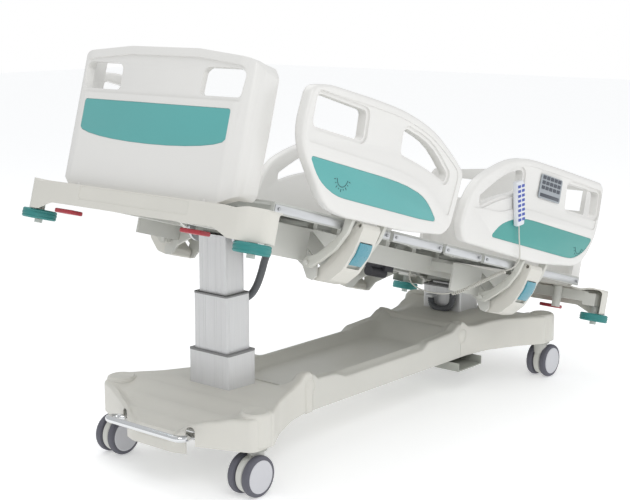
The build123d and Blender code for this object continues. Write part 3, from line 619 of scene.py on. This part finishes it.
def tray_shell():
    """Trough between the covers: wavy rims, and a floor that climbs to the head cover."""
    low, high, columns = SEAM["foot"] + 1.5, SEAM["head"] - 1.5, 90

    def section(x):
        ledge, rim, bed = (height_at(row, x) for row in (TRAY_LEDGE, TRAY_RIM, TRAY_FLOOR))
        half = [(TRAY_HALF, 150), (TRAY_HALF, ledge - 8), (TRAY_HALF - 2, ledge - 3),
                (TRAY_HALF - 6, ledge), (TRAY_HALF - 12, ledge + 1), (TRAY_HALF - 26, max(rim, ledge) - 4),
                (TRAY_HALF - 33, max(rim, ledge)), (TRAY_HALF - 41, max(rim, ledge)),
                (TRAY_HALF - 49, max(rim, ledge) - 6), (TRAY_HALF - 60, bed + 10),
                (TRAY_HALF - 68, bed + 2), (TRAY_HALF - 78, bed), (TRAY_HALF - 140, bed), (0, bed)]
        return half + [(-y, z) for y, z in reversed(half[:-1])]

    def place(column, row):
        x = low + (high - low) * column / columns
        y, z = section(x)[row]
        return (x, y, z)

    tray = skin("centre_tray_shell", columns, len(section(0)) - 1, place)
    apply(tray, "SOLIDIFY", thickness=4, offset=-1)
    settle(tray, BASE, "base", tray_ivory, "base_shell", "centre_tray", smooth=50)


# ---------------------------------------------------------------- columns
def tube_outline(size, corner=7, groove=0.5, wide_lanes=(0.16, 0.3, 0.36), short_lanes=(0.12,)):
    """Fine grooves run down each face of the extrusion, mirrored about the face's middle."""
    a, b = size[0] / 2, size[1] / 2
    outline = []
    sides = (((a, -b), (a, b)), ((a, b), (-a, b)), ((-a, b), (-a, -b)), ((-a, -b), (a, -b)))
    for i, (start, stop) in enumerate(sides):
        start, stop = Vector(start), Vector(stop)
        along = (stop - start).normalized()
        inward = Vector((-along.y, along.x))
        length = (stop - start).length
        lanes = short_lanes if i % 2 else wide_lanes
        outline.append(start + along * corner)
        for share in (*lanes, *(1 - lane for lane in reversed(lanes))):
            middle = start + along * length * share
            outline += [middle - along * groove, middle + inward * groove * 1.6, middle + along * groove]
        outline.append(stop - along * corner)
        for swing in (radians(22.5), radians(45), radians(67.5)):
            outline.append(stop - along * corner * (1 - sin(swing)) + inward * corner * (1 - cos(swing)))
    return outline


def column_stage(name, size, x, z0, z1, body, node):
    outline = [point + Vector((x, 0)) for point in tube_outline(size)]
    inner = [point + Vector((x, 0)) for point in rounded(
        [(size[0] / 2 - 5, -size[1] / 2 + 5), (size[0] / 2 - 5, size[1] / 2 - 5),
         (-size[0] / 2 + 5, size[1] / 2 - 5), (-size[0] / 2 + 5, -size[1] / 2 + 5)], 5)]
    tube = plate(name, outline, "Z", z0, z1)
    cut(tube, plate("bore", inner, "Z", z0 - 1, z1 + 1))
    settle(tube, BASE, body, column_alu, "column_alu", node, smooth=50)


def collar(name, outside, inside, x, z0, z1, body, material=collar_grey):
    def corners(size):
        a, b = size[0] / 2, size[1] / 2
        return [(x + a, -b), (x + a, b), (x - a, b), (x - a, -b)]

    shape = plate(name, rounded(corners(outside), 10), "Z", z0, z1, 1.2, 2)
    cut(shape, plate("mouth", rounded(corners(inside), 9), "Z", z0 - 5, z1 + 5))
    settle(shape, BASE, body, material, "wheel")


def columns():
    lift = 380.556
    sizes = (130, 182), (112, 150), (92, 122)
    for which, x, step in (("foot", FOOT_COLUMN_X, lift / 2), ("head", HEAD_COLUMN_X, 0)):
        part = which + "_column_"
        stage_two, stage_three = which + "_stage_two", which + "_stage_three"
        column_stage(part + "outer_tube", sizes[0], x, 118, 378, "base", part + "outer")
        column_stage(part + "middle_tube", sizes[1], x, 150 + step, 385 + step, stage_two,
                     part + "middle")
        column_stage(part + "inner_tube", sizes[2], x, 163 + 2 * step, 391 + 2 * step, stage_three,
                     part + "inner")
        collar(part + "outer_collar", (133, 185), (112.6, 150.6), x, 375.5, 382, "base")
        collar(part + "middle_collar", (115, 153), (92.6, 122.6), x, 378.5 + step, 385 + step, stage_two)
        head = plate(part + "crosshead", rounded([(x - 25, 389), (x + 25, 389), (x + 25, 415),
                                                  (x - 25, 415)], 6), "Y", -104, 104, 1.5, 2)
        head.data.transform(Matrix.Translation((0, 0, 2 * step)))
        # The crosshead's grey-green is darkened with painted shade for its place under the deck.
        settle(head, BASE, stage_three, frame_paint, "frame_paint")


# ---------------------------------------------------------------- casters
def caster_wheel(name, x, y, body, node):
    """Twin wheels: dark tyres with domed light discs."""
    tyre = [(50, -12), (54, -13), (58, -13), (64, -10.5), (66.4, -5), (66.4, 5), (64, 10.5), (60, 12.6),
            (55, 13), (50, 12)]
    disc = [(0, -11), (53, -11), (53, 13.2), (51, 14.6), (47, 14.4), (42, 13.2), (20, 12.4), (0, 12.6)]
    centre = (x, 0, WHEEL_RADIUS)
    for s, hand in (("inner", -1), ("outer", 1)):
        for part, profile, material, slot in (
                ("tyre", tyre, tyre_grey, "wheel"), ("disc", disc, disc_grey, "caster_grey")):
            shape = turned(f"{name}_{s}_{part}", [(r, h * hand) for r, h in profile], "Y", centre, 56)
            shape.data.transform(Matrix.Translation((0, y + hand * 30, 0)))
            nodes = (node,) if (s, part) == ("outer", "tyre") else ()
            settle(shape, BASE, body, material, slot, *nodes, smooth=40)
    shaft = bar(name + "_shaft", (x, y - 20, WHEEL_RADIUS), (x, y + 20, WHEEL_RADIUS), 6)
    settle(shaft, BASE, body, rod_steel, "rod_steel")


def casters():
    for which in ("foot", "head"):
        for s in ("left", "right"):
            key = f"{s}_{which}"
            x = CASTER_X[which] + END[which] * CASTER_TRAIL
            y = SIDE[s] * CASTER_HALF_Y
            caster_wheel(key + "_caster", x, y, key + "_wheels", key + "_caster_wheels")
            stem = soften(welded(key + "_caster_fork", "stem", BASE), 2, 2)
            fender = turned("fender", [(0, -14), (55, -14), (59, -11), (60, -6), (60, 6), (59, 11), (55, 14),
                                       (0, 14)], "Y", (x, y, WHEEL_RADIUS + 1), 56)
            neck = turned("neck", [(0, 100), (27, 100), (27, 141), (25, 143), (0, 143)], "Z",
                          (CASTER_X[which], y, 0), 40)
            fork = joined(key + "_caster_housing", [stem, fender, neck])
            settle(fork, BASE, key + "_fork", fork_ivory, "caster_grey", key + "_caster_fork")


# ---------------------------------------------------------------- boards
def board_plan(e):
    y, f, t = BOARD_HALF, BOARD_FACE, BOARD_THICK
    half = [(f - 54, y - 26), (f - 107, y - 20), (f - 107, y), (f - 50, y - 4), (f - 18, y - 16),
            (f, y - 62)]
    half_radii = [20, 0, 0, 30, 20, 40]
    plan = [(f - t, y - 62)] + half + [(u, -v) for u, v in reversed(half)] + [(f - t, -y + 62)]
    radii = [30] + half_radii + half_radii[::-1] + [30]
    return rounded([(e * u, v) for u, v in plan], radii)


def board_front():
    y = BOARD_HALF
    points = [(-y + 60, 113), (y - 60, 113), (y - 5, 143), (y, 330), (y, 510), (y - 27, 546),
              (150, 567), (-150, 567), (-y + 27, 546), (-y, 510), (-y, 330), (-y + 5, 143)]
    return rounded(points, [10, 10, 30, 100, 40, 40, 200, 200, 40, 40, 100, 30], 5)


def insert_outline(shrink=0.0):
    """Panel with a straight top and a bottom edge that sags on one arc."""
    y, top, corner, sag = BOARD_HALF - 70 - shrink, 392 - shrink, 300 + shrink, 36
    bottom = [(-y * cos(pi * k / 12) * -1, corner - sag * sin(pi * k / 12)) for k in range(13)]
    return rounded([(-y, top)] + [(-v, w) for v, w in bottom] + [(y, top)], [10] + [8] + [0] * 11 + [8, 10])


def board(which):
    e = END[which]
    low, high = sorted((e * (BOARD_FACE - 125), e * (BOARD_FACE + 10)))
    name = which + "board_panel"
    body = plate(name, board_plan(e), "Z", 100, 600)
    cut(body, plate("front", board_front(), "X", low, high), mode="INTERSECT")
    soften(body, 8, 4, 40)
    y = BOARD_HALF
    face = e * BOARD_FACE
    near, far = sorted((face + e * 10, face - e * 7))
    field = rounded([(-y + 40, 414), (y - 40, 414), (y - 33, 505), (y - 60, 523), (150, 541),
                     (-150, 541), (-y + 60, 523), (-y + 33, 505)], [16, 16, 30, 40, 200, 200, 40, 30], 5)
    cut(body, plate("field", field, "X", near, far))
    hole = rounded([(175, 427), (y - 47, 427), (y - 40, 500), (y - 62, 514), (195, 514), (178, 500)], 16)
    for hand in (-1, 1):
        outline = [Vector((hand * v, w)) for v, w in hole]
        cut(body, plate("hole", outline, "X", low, high))
    near, far = sorted((face + e * 10, face - e * 2.6))
    cut(body, plate("pocket", insert_outline(), "X", near, far))
    soften(body, 3.2, 3, 40)
    pegs = [bar("peg", (e * (HALF_LENGTH + 13), hand * (y - 112), 50),
                (e * (HALF_LENGTH + 13), hand * (y - 112), 120), 15, 32, 2) for hand in (-1, 1)]
    settle(joined(name, [body] + pegs), UPPER, which + "board", board_white, "board_shell",
           which + "board", smooth=40)
    near, far = sorted((face - e * 2.6, face - e * 0.4))
    panel = plate(which + "board_colour_panel", insert_outline(0.8), "X", near, far, 0.8, 2)
    settle(panel, UPPER, which + "board", insert_teal, "insert_teal", which + "board_insert")


# ---------------------------------------------------------------- side rails
FOOT_RAIL = [(-950, 503), (-968, 342), (-800, 168), (-705, 148), (-361, 152), (-147, 172),
             (-112, 208), (-96, 307), (-88, 398), (-158, 438), (-295, 502), (-475, 530),
             (-648, 530), (-873, 524)]
FOOT_RADII = [40, 900, 500, 500, 900, 60, 50, 900, 45, 500, 900, 900, 900, 900]
HEAD_RAIL = [(-52, 222), (-42, 300), (0, 380), (90, 443), (215, 503), (330, 525), (600, 530),
             (898, 532), (927, 510), (932, 325), (866, 217), (797, 180), (495, 155), (-20, 168)]
HEAD_RADII = [50, 400, 400, 900, 900, 900, 900, 25, 25, 400, 300, 300, 900, 50]
FOOT_HOLES = [
    ([(-912, 389), (-912, 488), (-667, 486), (-662, 392)], 18),
    ([(-461, 478), (-458, 391), (-300, 372), (-185, 344), (-178, 376), (-300, 455)],
     [18, 18, 900, 14, 14, 900]),
]
HEAD_HOLES = [
    ([(50, 300), (140, 344), (290, 392), (311, 404), (306, 478), (222, 458), (138, 410), (46, 340)],
     [14, 900, 10, 10, 18, 900, 900, 14]),
    ([(655, 386), (642, 488), (905, 490), (912, 388)], 18),
]
FOOT_INSERT = ([(-911, 303), (-854, 238), (-763, 203), (-302, 203), (-204, 208), (-286, 276),
                (-404, 299), (-535, 303)], [8, 900, 500, 0, 8, 900, 900, 900])
HEAD_INSERT = ([(143, 208), (195, 260), (286, 296), (379, 308), (898, 305), (855, 250), (768, 207),
                (688, 205)], [8, 900, 900, 900, 8, 900, 500, 0])
FOOT_FIELD = ([(-938, 340), (-530, 338), (-395, 332), (-262, 304), (-160, 240), (-140, 240),
               (-118, 390), (-172, 418), (-305, 478), (-478, 504), (-648, 504), (-925, 498)],
              [20, 900, 900, 900, 10, 10, 40, 900, 900, 900, 900, 20])
HEAD_FIELD = ([(-20, 290), (100, 300), (180, 300), (280, 332), (379, 342), (905, 340), (905, 500),
               (600, 504), (330, 500), (222, 478), (105, 420), (15, 360)],
              [20, 20, 900, 900, 900, 20, 20, 900, 900, 900, 900, 50])
RAILS = {
    "foot": (FOOT_RAIL, FOOT_RADII, FOOT_HOLES, FOOT_INSERT, FOOT_FIELD, (-739, 262)),
    "head": (HEAD_RAIL, HEAD_RADII, HEAD_HOLES, HEAD_INSERT, HEAD_FIELD, (800, 258)),
}


def tilt_scale(which, centre):
    """Half-ring of ticks and an arc that a ball level's scale has, thin raised print."""
    u0, w0 = centre
    face = RAIL_OUTSIDE
    arc = [Vector((u0 + 27 * cos(radians(t)), w0 + 27 * sin(radians(t)))) for t in range(185, 356, 10)]
    back = [Vector((u0 + 25 * cos(radians(t)), w0 + 25 * sin(radians(t)))) for t in range(355, 184, -10)]
    parts = [plate("arc", arc + back, "Y", face - 1.2, face - 0.2)]
    for k in range(9):
        t = radians(190 + 20 * k)
        long = 9 if k % 2 == 0 else 5
        a = Vector((cos(t), sin(t)))
        b = Vector((-sin(t), cos(t)))
        middle = Vector((u0, w0)) + a * (32 + long / 2)
        mark = [middle + a * long / 2 * sa + b * 1.1 * sb for sa, sb in ((-1, -1), (1, -1), (1, 1), (-1, 1))]
        parts.append(plate("tick", mark, "Y", face - 1.2, face - 0.2))
    return joined(which + "_tilt_scale", parts)


def side_rail(which):
    """Shell, colour panel and scale of one rail, drawn on the right side."""
    points, radii, holes, insert, field, scale_at = RAILS[which]
    rail = plate("rail", rounded(points, radii, 5), "Y", RAIL_INSIDE, RAIL_OUTSIDE)
    soften(rail, 12, 5, 40, clamp=False)
    cut(rail, plate("field", rounded(*field), "Y", RAIL_OUTSIDE - 4, RAIL_OUTSIDE + 5))
    for hole, radius in holes:
        outline = rounded(hole, radius)
        cut(rail, plate("frame", shrunk(outline, -11), "Y", RAIL_OUTSIDE - 11, RAIL_OUTSIDE + 5))
        cut(rail, plate("hole", outline, "Y", RAIL_INSIDE - 5, RAIL_OUTSIDE + 5))
    cut(rail, plate("pocket", rounded(*insert), "Y", RAIL_OUTSIDE - 3, RAIL_OUTSIDE + 5))
    u = RAIL_MIDDLE[which]
    cut(rail, block("arm_pocket", (u - 100, RAIL_INSIDE - 5, 120), (u + 100, RAIL_OUTSIDE - 9, 240)))
    soften(rail, 3, 3, 40)
    panel = plate("panel", shrunk(rounded(*insert), 0.8), "Y", RAIL_OUTSIDE - 3, RAIL_OUTSIDE - 1.0, 0.7, 2)
    return rail, panel, tilt_scale(which, scale_at)


def side_rails():
    for which in ("foot", "head"):
        pieces = side_rail(which)
        for s in ("left", "right"):
            key = f"{s}_{which}_rail"
            teal = insert_teal if which == "foot" else rail_teal
            for piece, name, material, slot, nodes in (
                    (pieces[0], "_shell", board_white, "board_shell", (key,)),
                    (pieces[1], "_colour_panel", teal, "insert_teal", ()),
                    (pieces[2], "_tilt_scale", ink, "keypad", ())):
                made = copy_of(piece, key + name, mirrored=s == "left")
                settle(made, UPPER, key, material, slot, *nodes, smooth=40)
        for piece in pieces:
            bpy.data.objects.remove(piece)


def rail_arms():
    for which in ("foot", "head"):
        for s in ("left", "right"):
            key = f"{s}_{which}"
            for node, body, material, slot in (
                    ("_rail_side_arms", "_arms", arm_paint, "arm_paint"),
                    ("_rail_centre_arm", "_link", shell_ivory, "arm_paint"),
                    ("_rail_handle", "_handle", handle_blue, "handle_blue")):
                obj = soften(welded(key + node, key + node + "_body", UPPER), 2.2, 3)
                settle(obj, UPPER, key + body, material, slot, key + node, smooth=40)


# ---------------------------------------------------------------- ends and bumpers
def end_covers():
    for which in ("foot", "head"):
        node = which + "_end_cover"
        e = END[which]
        cover = soften(welded(node, node + "_shell", UPPER), 3.5, 3)
        near, far = sorted((e * (COVER_FACE - 2), e * (COVER_FACE + 12)))
        panel = rounded([(-252, 64), (235, 64), (235, 108), (-252, 108)], 8)
        cut(cover, soften(plate("panel", panel, "X", near, far), 1.5, 2))
        settle(cover, UPPER, "frame", shell_ivory, "base_shell", node)
        near, far = sorted((e * (COVER_FACE - 62), e * (COVER_FACE - 12)))
        for hand, (start, stop) in (("left", (-303, -220)), ("right", (269, 352))):
            latch = block(f"{which}_{hand}_latch", (near, start, 14), (far, stop, 28), 4, 3)
            settle(latch, UPPER, "frame", latch_red, "handle_blue")


# ---------------------------------------------------------------- deck edges
def deck_edges():
    """Light metal band along each deck section, on both sides, with two bolts at each hinge."""
    sections = (("calf", -955, -370), ("thigh", -350, -55), ("frame", -35, 205),
                ("backrest", 225, 955))
    for s in ("left", "right"):
        for body, low, high in sections:
            inside, outside = sorted((SIDE[s] * (DECK_HALF - 0.5), SIDE[s] * (DECK_HALF + 2.5)))
            band = block(f"{s}_{body}_band", (low, inside, 119), (high, outside, 143), 1.2, 2)
            settle(band, UPPER, body, band_alu, "rod_steel")
            for i, u in enumerate((low + 16, high - 16)):
                start = (u, SIDE[s] * (DECK_HALF + 2), 131)
                stop = (u, SIDE[s] * (DECK_HALF + 6.5), 131)
                bolt = bar(f"{s}_{body}_band_bolt_{i}", start, stop, 6, 6, 0.8)
                settle(bolt, UPPER, body, bolt_zinc, "rod_steel")


# ---------------------------------------------------------------- keys
def keys():
    """Two columns of legends on the hand control, and the rail's keypad."""
    for row in range(8):
        for column in (-1, 1):
            key = plate("handset_key", rounded([(-9, -5), (9, -5), (9, 5), (-9, 5)], 2), "Y",
                        -HANDSET_FACE - 0.9, -HANDSET_FACE + 0.4)
            key.name = f"handset_key_{row}_{'left' if column < 0 else 'right'}"
            key.data.transform(Matrix.Translation((column * 12.5, 0, 64 - 17.5 * row)))
            key.data.transform(Matrix.Translation((HANDSET_AT[0], 0, HANDSET_AT[1]))
                               @ Matrix.Rotation(radians(HANDSET_TURN), 4, "Y"))
            settle(key, UPPER, "left_head_rail", key_blue, "keypad")
    for row in range(3):
        for column in range(5):
            u, w = 503 + 29 * (column - 2), 476 - 19 * row
            outline = rounded([(u - 11, w - 6.5), (u + 11, w - 6.5), (u + 11, w + 6.5), (u - 11, w + 6.5)], 2)
            key = plate(f"keypad_key_{row}_{column}", outline, "Y", -RAIL_OUTSIDE - 3.4, -RAIL_OUTSIDE - 1.8)
            settle(key, UPPER, "left_head_rail", key_dark, "keypad")
    strip = block("keypad_strip", (431, -RAIL_OUTSIDE - 3, 403), (575, -RAIL_OUTSIDE - 1.8, 416), 0.5, 2)
    settle(strip, UPPER, "left_head_rail", key_dark, "keypad")


# ---------------------------------------------------------------- cords and hoses
def run(name, points, place, thick=0.0):
    """Cord of one spline through control points, in metres in the row frame."""
    curve = bpy.data.curves.new(name, "CURVE")
    curve.dimensions = "3D"
    curve.resolution_u = 8
    curve.bevel_depth = thick / 2
    curve.bevel_resolution = 3
    curve.use_fill_caps = True
    spline = curve.splines.new("NURBS")
    spline.points.add(len(points) - 1)
    for spot, point in zip(spline.points, points):
        spot.co = (*(place @ Vector(point)), 1)
    spline.order_u = 3
    spline.use_endpoint_u = True
    obj = bpy.data.objects.new(name, curve)
    bpy.context.scene.collection.objects.link(obj)
    return obj


def line_of(points, place):
    """Points along the route's own line, and how far along it each one lies."""
    route = run("route", points, place)
    drawn = bpy.data.meshes.new_from_object(route)
    spots = [v.co.copy() for v in drawn.vertices]
    bpy.data.objects.remove(route)
    along = [0.0]
    for a, b in zip(spots, spots[1:]):
        along.append(along[-1] + (b - a).length)
    return spots, along


def curled(points, place, radius, pitch, steps=14):
    """Helix around a route, wound from its start to its end."""
    spots, along = line_of(points, place)
    turns = round(along[-1] / pitch)
    side = Vector((0, 1, 0))
    helix, i = [], 0
    for k in range(turns * steps + 1):
        share = k / (turns * steps)
        while i < len(along) - 2 and along[i + 1] < share * along[-1]:
            i += 1
        ahead = (spots[i + 1] - spots[i]).normalized()
        centre = spots[i].lerp(spots[i + 1], (share * along[-1] - along[i]) / (along[i + 1] - along[i]))
        side = (side - ahead * side.dot(ahead)).normalized()
        up = ahead.cross(side)
        turn = 2 * pi * turns * share
        helix.append(centre + (side * cos(turn) + up * sin(turn)) * radius)
    return helix


def handset_lead():
    cord = run("handset_curly_cord",
               [UPPER @ Vector(p) for p in LEAD_START] + curled(LEAD_CURL, UPPER, 0.005, 0.0075)
               + [UPPER @ Vector(p) for p in LEAD_LAST], Matrix.Identity(4), 0.005)
    cord.data.materials.append(cord_ivory)
    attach(cord, "left_head_rail")
    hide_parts("handset_cord")


def foot_conduit():
    conduit = run("foot_column_conduit", FOOT_CONDUIT, BASE, 0.026)
    conduit.data.materials.append(conduit_grey)
    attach(conduit, "foot_stage_two")


def head_hose():
    """Ribbed hose hanging in a loop in front of the head column."""
    spots, along = line_of([Vector(p) + Vector((HEAD_COLUMN_X, 0, 0)) for p in HOSE_ROUTE],
                           Matrix.Identity(4))
    rings = int(along[-1] / 3.5)
    stations, i = [], 0
    for k in range(rings + 1):
        reach = along[-1] * k / rings
        while i < len(along) - 2 and along[i + 1] < reach:
            i += 1
        ahead = (spots[i + 1] - spots[i]).normalized()
        centre = spots[i].lerp(spots[i + 1], (reach - along[i]) / (along[i + 1] - along[i]))
        across = Vector((1, 0, 0))
        across = (across - ahead * across.dot(ahead)).normalized()
        stations.append((centre, across, ahead.cross(across), 13 if k % 2 else 11.4))

    def place(column, row):
        centre, across, up, radius = stations[row]
        turn = 2 * pi * (column % 24) / 24
        return tuple(centre + (across * cos(turn) + up * sin(turn)) * radius)

    hose = skin("head_column_ribbed_hose", 24, rings, place)
    enter(hose, everything=True)
    bpy.ops.mesh.region_to_loop()
    bpy.ops.mesh.edge_face_add()
    leave()
    outward(hose)
    settle(hose, BASE, "base", conduit_grey, "wheel", "head_column_hose", smooth=30)
    for i in (0, -1):
        x, y, z = Vector(HOSE_ROUTE[i]) + Vector((HEAD_COLUMN_X, 0, 0))
        low, high = (x - 16, y - 17, z), (HEAD_COLUMN_X - 64, y + 17, z + 12)
        socket = block(f"head_column_hose_socket_{-i}", low, high, 3)
        settle(socket, BASE, "base", column_alu, "column_alu")


def bumpers():
    profile = [(8.1, -13), (8.1, 13), (22, 13), (24, 9), (44, 9), (47, 15.5), (52, 15.5), (56.5, 11),
               (55, 6), (56.5, 3), (56.5, -3), (55, -6), (56.5, -11), (52, -15.5), (47, -15.5), (44, -9),
               (24, -9), (22, -13)]
    for which in ("foot", "head"):
        for s in ("left", "right"):
            key = f"{s}_{which}_bumper"
            centre = (END[which] * HALF_LENGTH, SIDE[s] * HALF_WIDTH, 0)
            roller = turned(key + "_roller", profile, "Z", centre, 56)
            settle(roller, UPPER, key, bumper_teal, "bumper_teal", key)


handset_lead()
foot_conduit()
head_hose()
base_shells()
columns()
casters()
board("foot")
board("head")
side_rails()
rail_arms()
end_covers()
deck_edges()
keys()
bumpers()
for node, material in (("control_box", shell_ivory), ("handset", handset_white),
                       ("membrane_panel", key_grey)):
    mesh = frame["nodes"][node].data
    mesh.materials.clear()
    mesh.materials.append(material)

# ---------------------------------------------------------------- stage, light and camera
bpy.ops.mesh.primitive_plane_add(size=40, location=(0, 0, -0.0005))
floor = bpy.context.object
floor.name = "floor"
floor_paint = bpy.data.materials.new("floor_paint")
floor_paint.use_nodes = True
floor_shader = floor_paint.node_tree.nodes["Principled BSDF"]
floor_shader.inputs["Base Color"].default_value = (0.93, 0.93, 0.93, 1)
floor_shader.inputs["Roughness"].default_value = 0.9
floor_shader.inputs["Emission Color"].default_value = (1, 1, 1, 1)
floor_shader.inputs["Emission Strength"].default_value = 0.36
floor.data.materials.append(floor_paint)

world = bpy.data.worlds.new("studio")
world.use_nodes = True
sky, shade = world.node_tree.nodes, world.node_tree.links
soft = sky["Background"]
soft.inputs["Color"].default_value = (0.97, 0.985, 1.0, 1)
soft.inputs["Strength"].default_value = 0.66
clear = sky.new("ShaderNodeBackground")
clear.inputs["Color"].default_value = (1, 1, 1, 1)
choice, path = sky.new("ShaderNodeMixShader"), sky.new("ShaderNodeLightPath")
shade.new(path.outputs["Is Camera Ray"], choice.inputs[0])
shade.new(soft.outputs[0], choice.inputs[1])
shade.new(clear.outputs[0], choice.inputs[2])
shade.new(choice.outputs[0], sky["World Output"].inputs["Surface"])
bpy.context.scene.world = world


def lamp(name, place, aim, size, power):
    light = bpy.data.lights.new(name, "AREA")
    light.size = size
    light.energy = power
    obj = bpy.data.objects.new(name, light)
    bpy.context.scene.collection.objects.link(obj)
    obj.location = place
    obj.rotation_euler = (Vector(aim) - Vector(place)).to_track_quat("-Z", "Y").to_euler()


lamp("key", (-2.6, -3.6, 4.2), (0, 0, 0.6), 2.5, 60)
lamp("fill", (3.5, -4.5, 2.0), (0, 0, 0.5), 3.0, 22)
lamp("top", (0, 1.5, 4.5), (0, 0, 0.5), 4.0, 55)

camera = bpy.data.cameras.new("camera")
camera.lens = 75.8
camera.sensor_width = 36
eye = bpy.data.objects.new("camera", camera)
bpy.context.scene.collection.objects.link(eye)
eye.location = (-3.8103, -2.9967, 1.5245)
eye.rotation_euler = (radians(79.30), radians(-0.098), radians(-49.968))
bpy.context.scene.camera = eye
bpy.context.scene.view_settings.view_transform = "Standard"
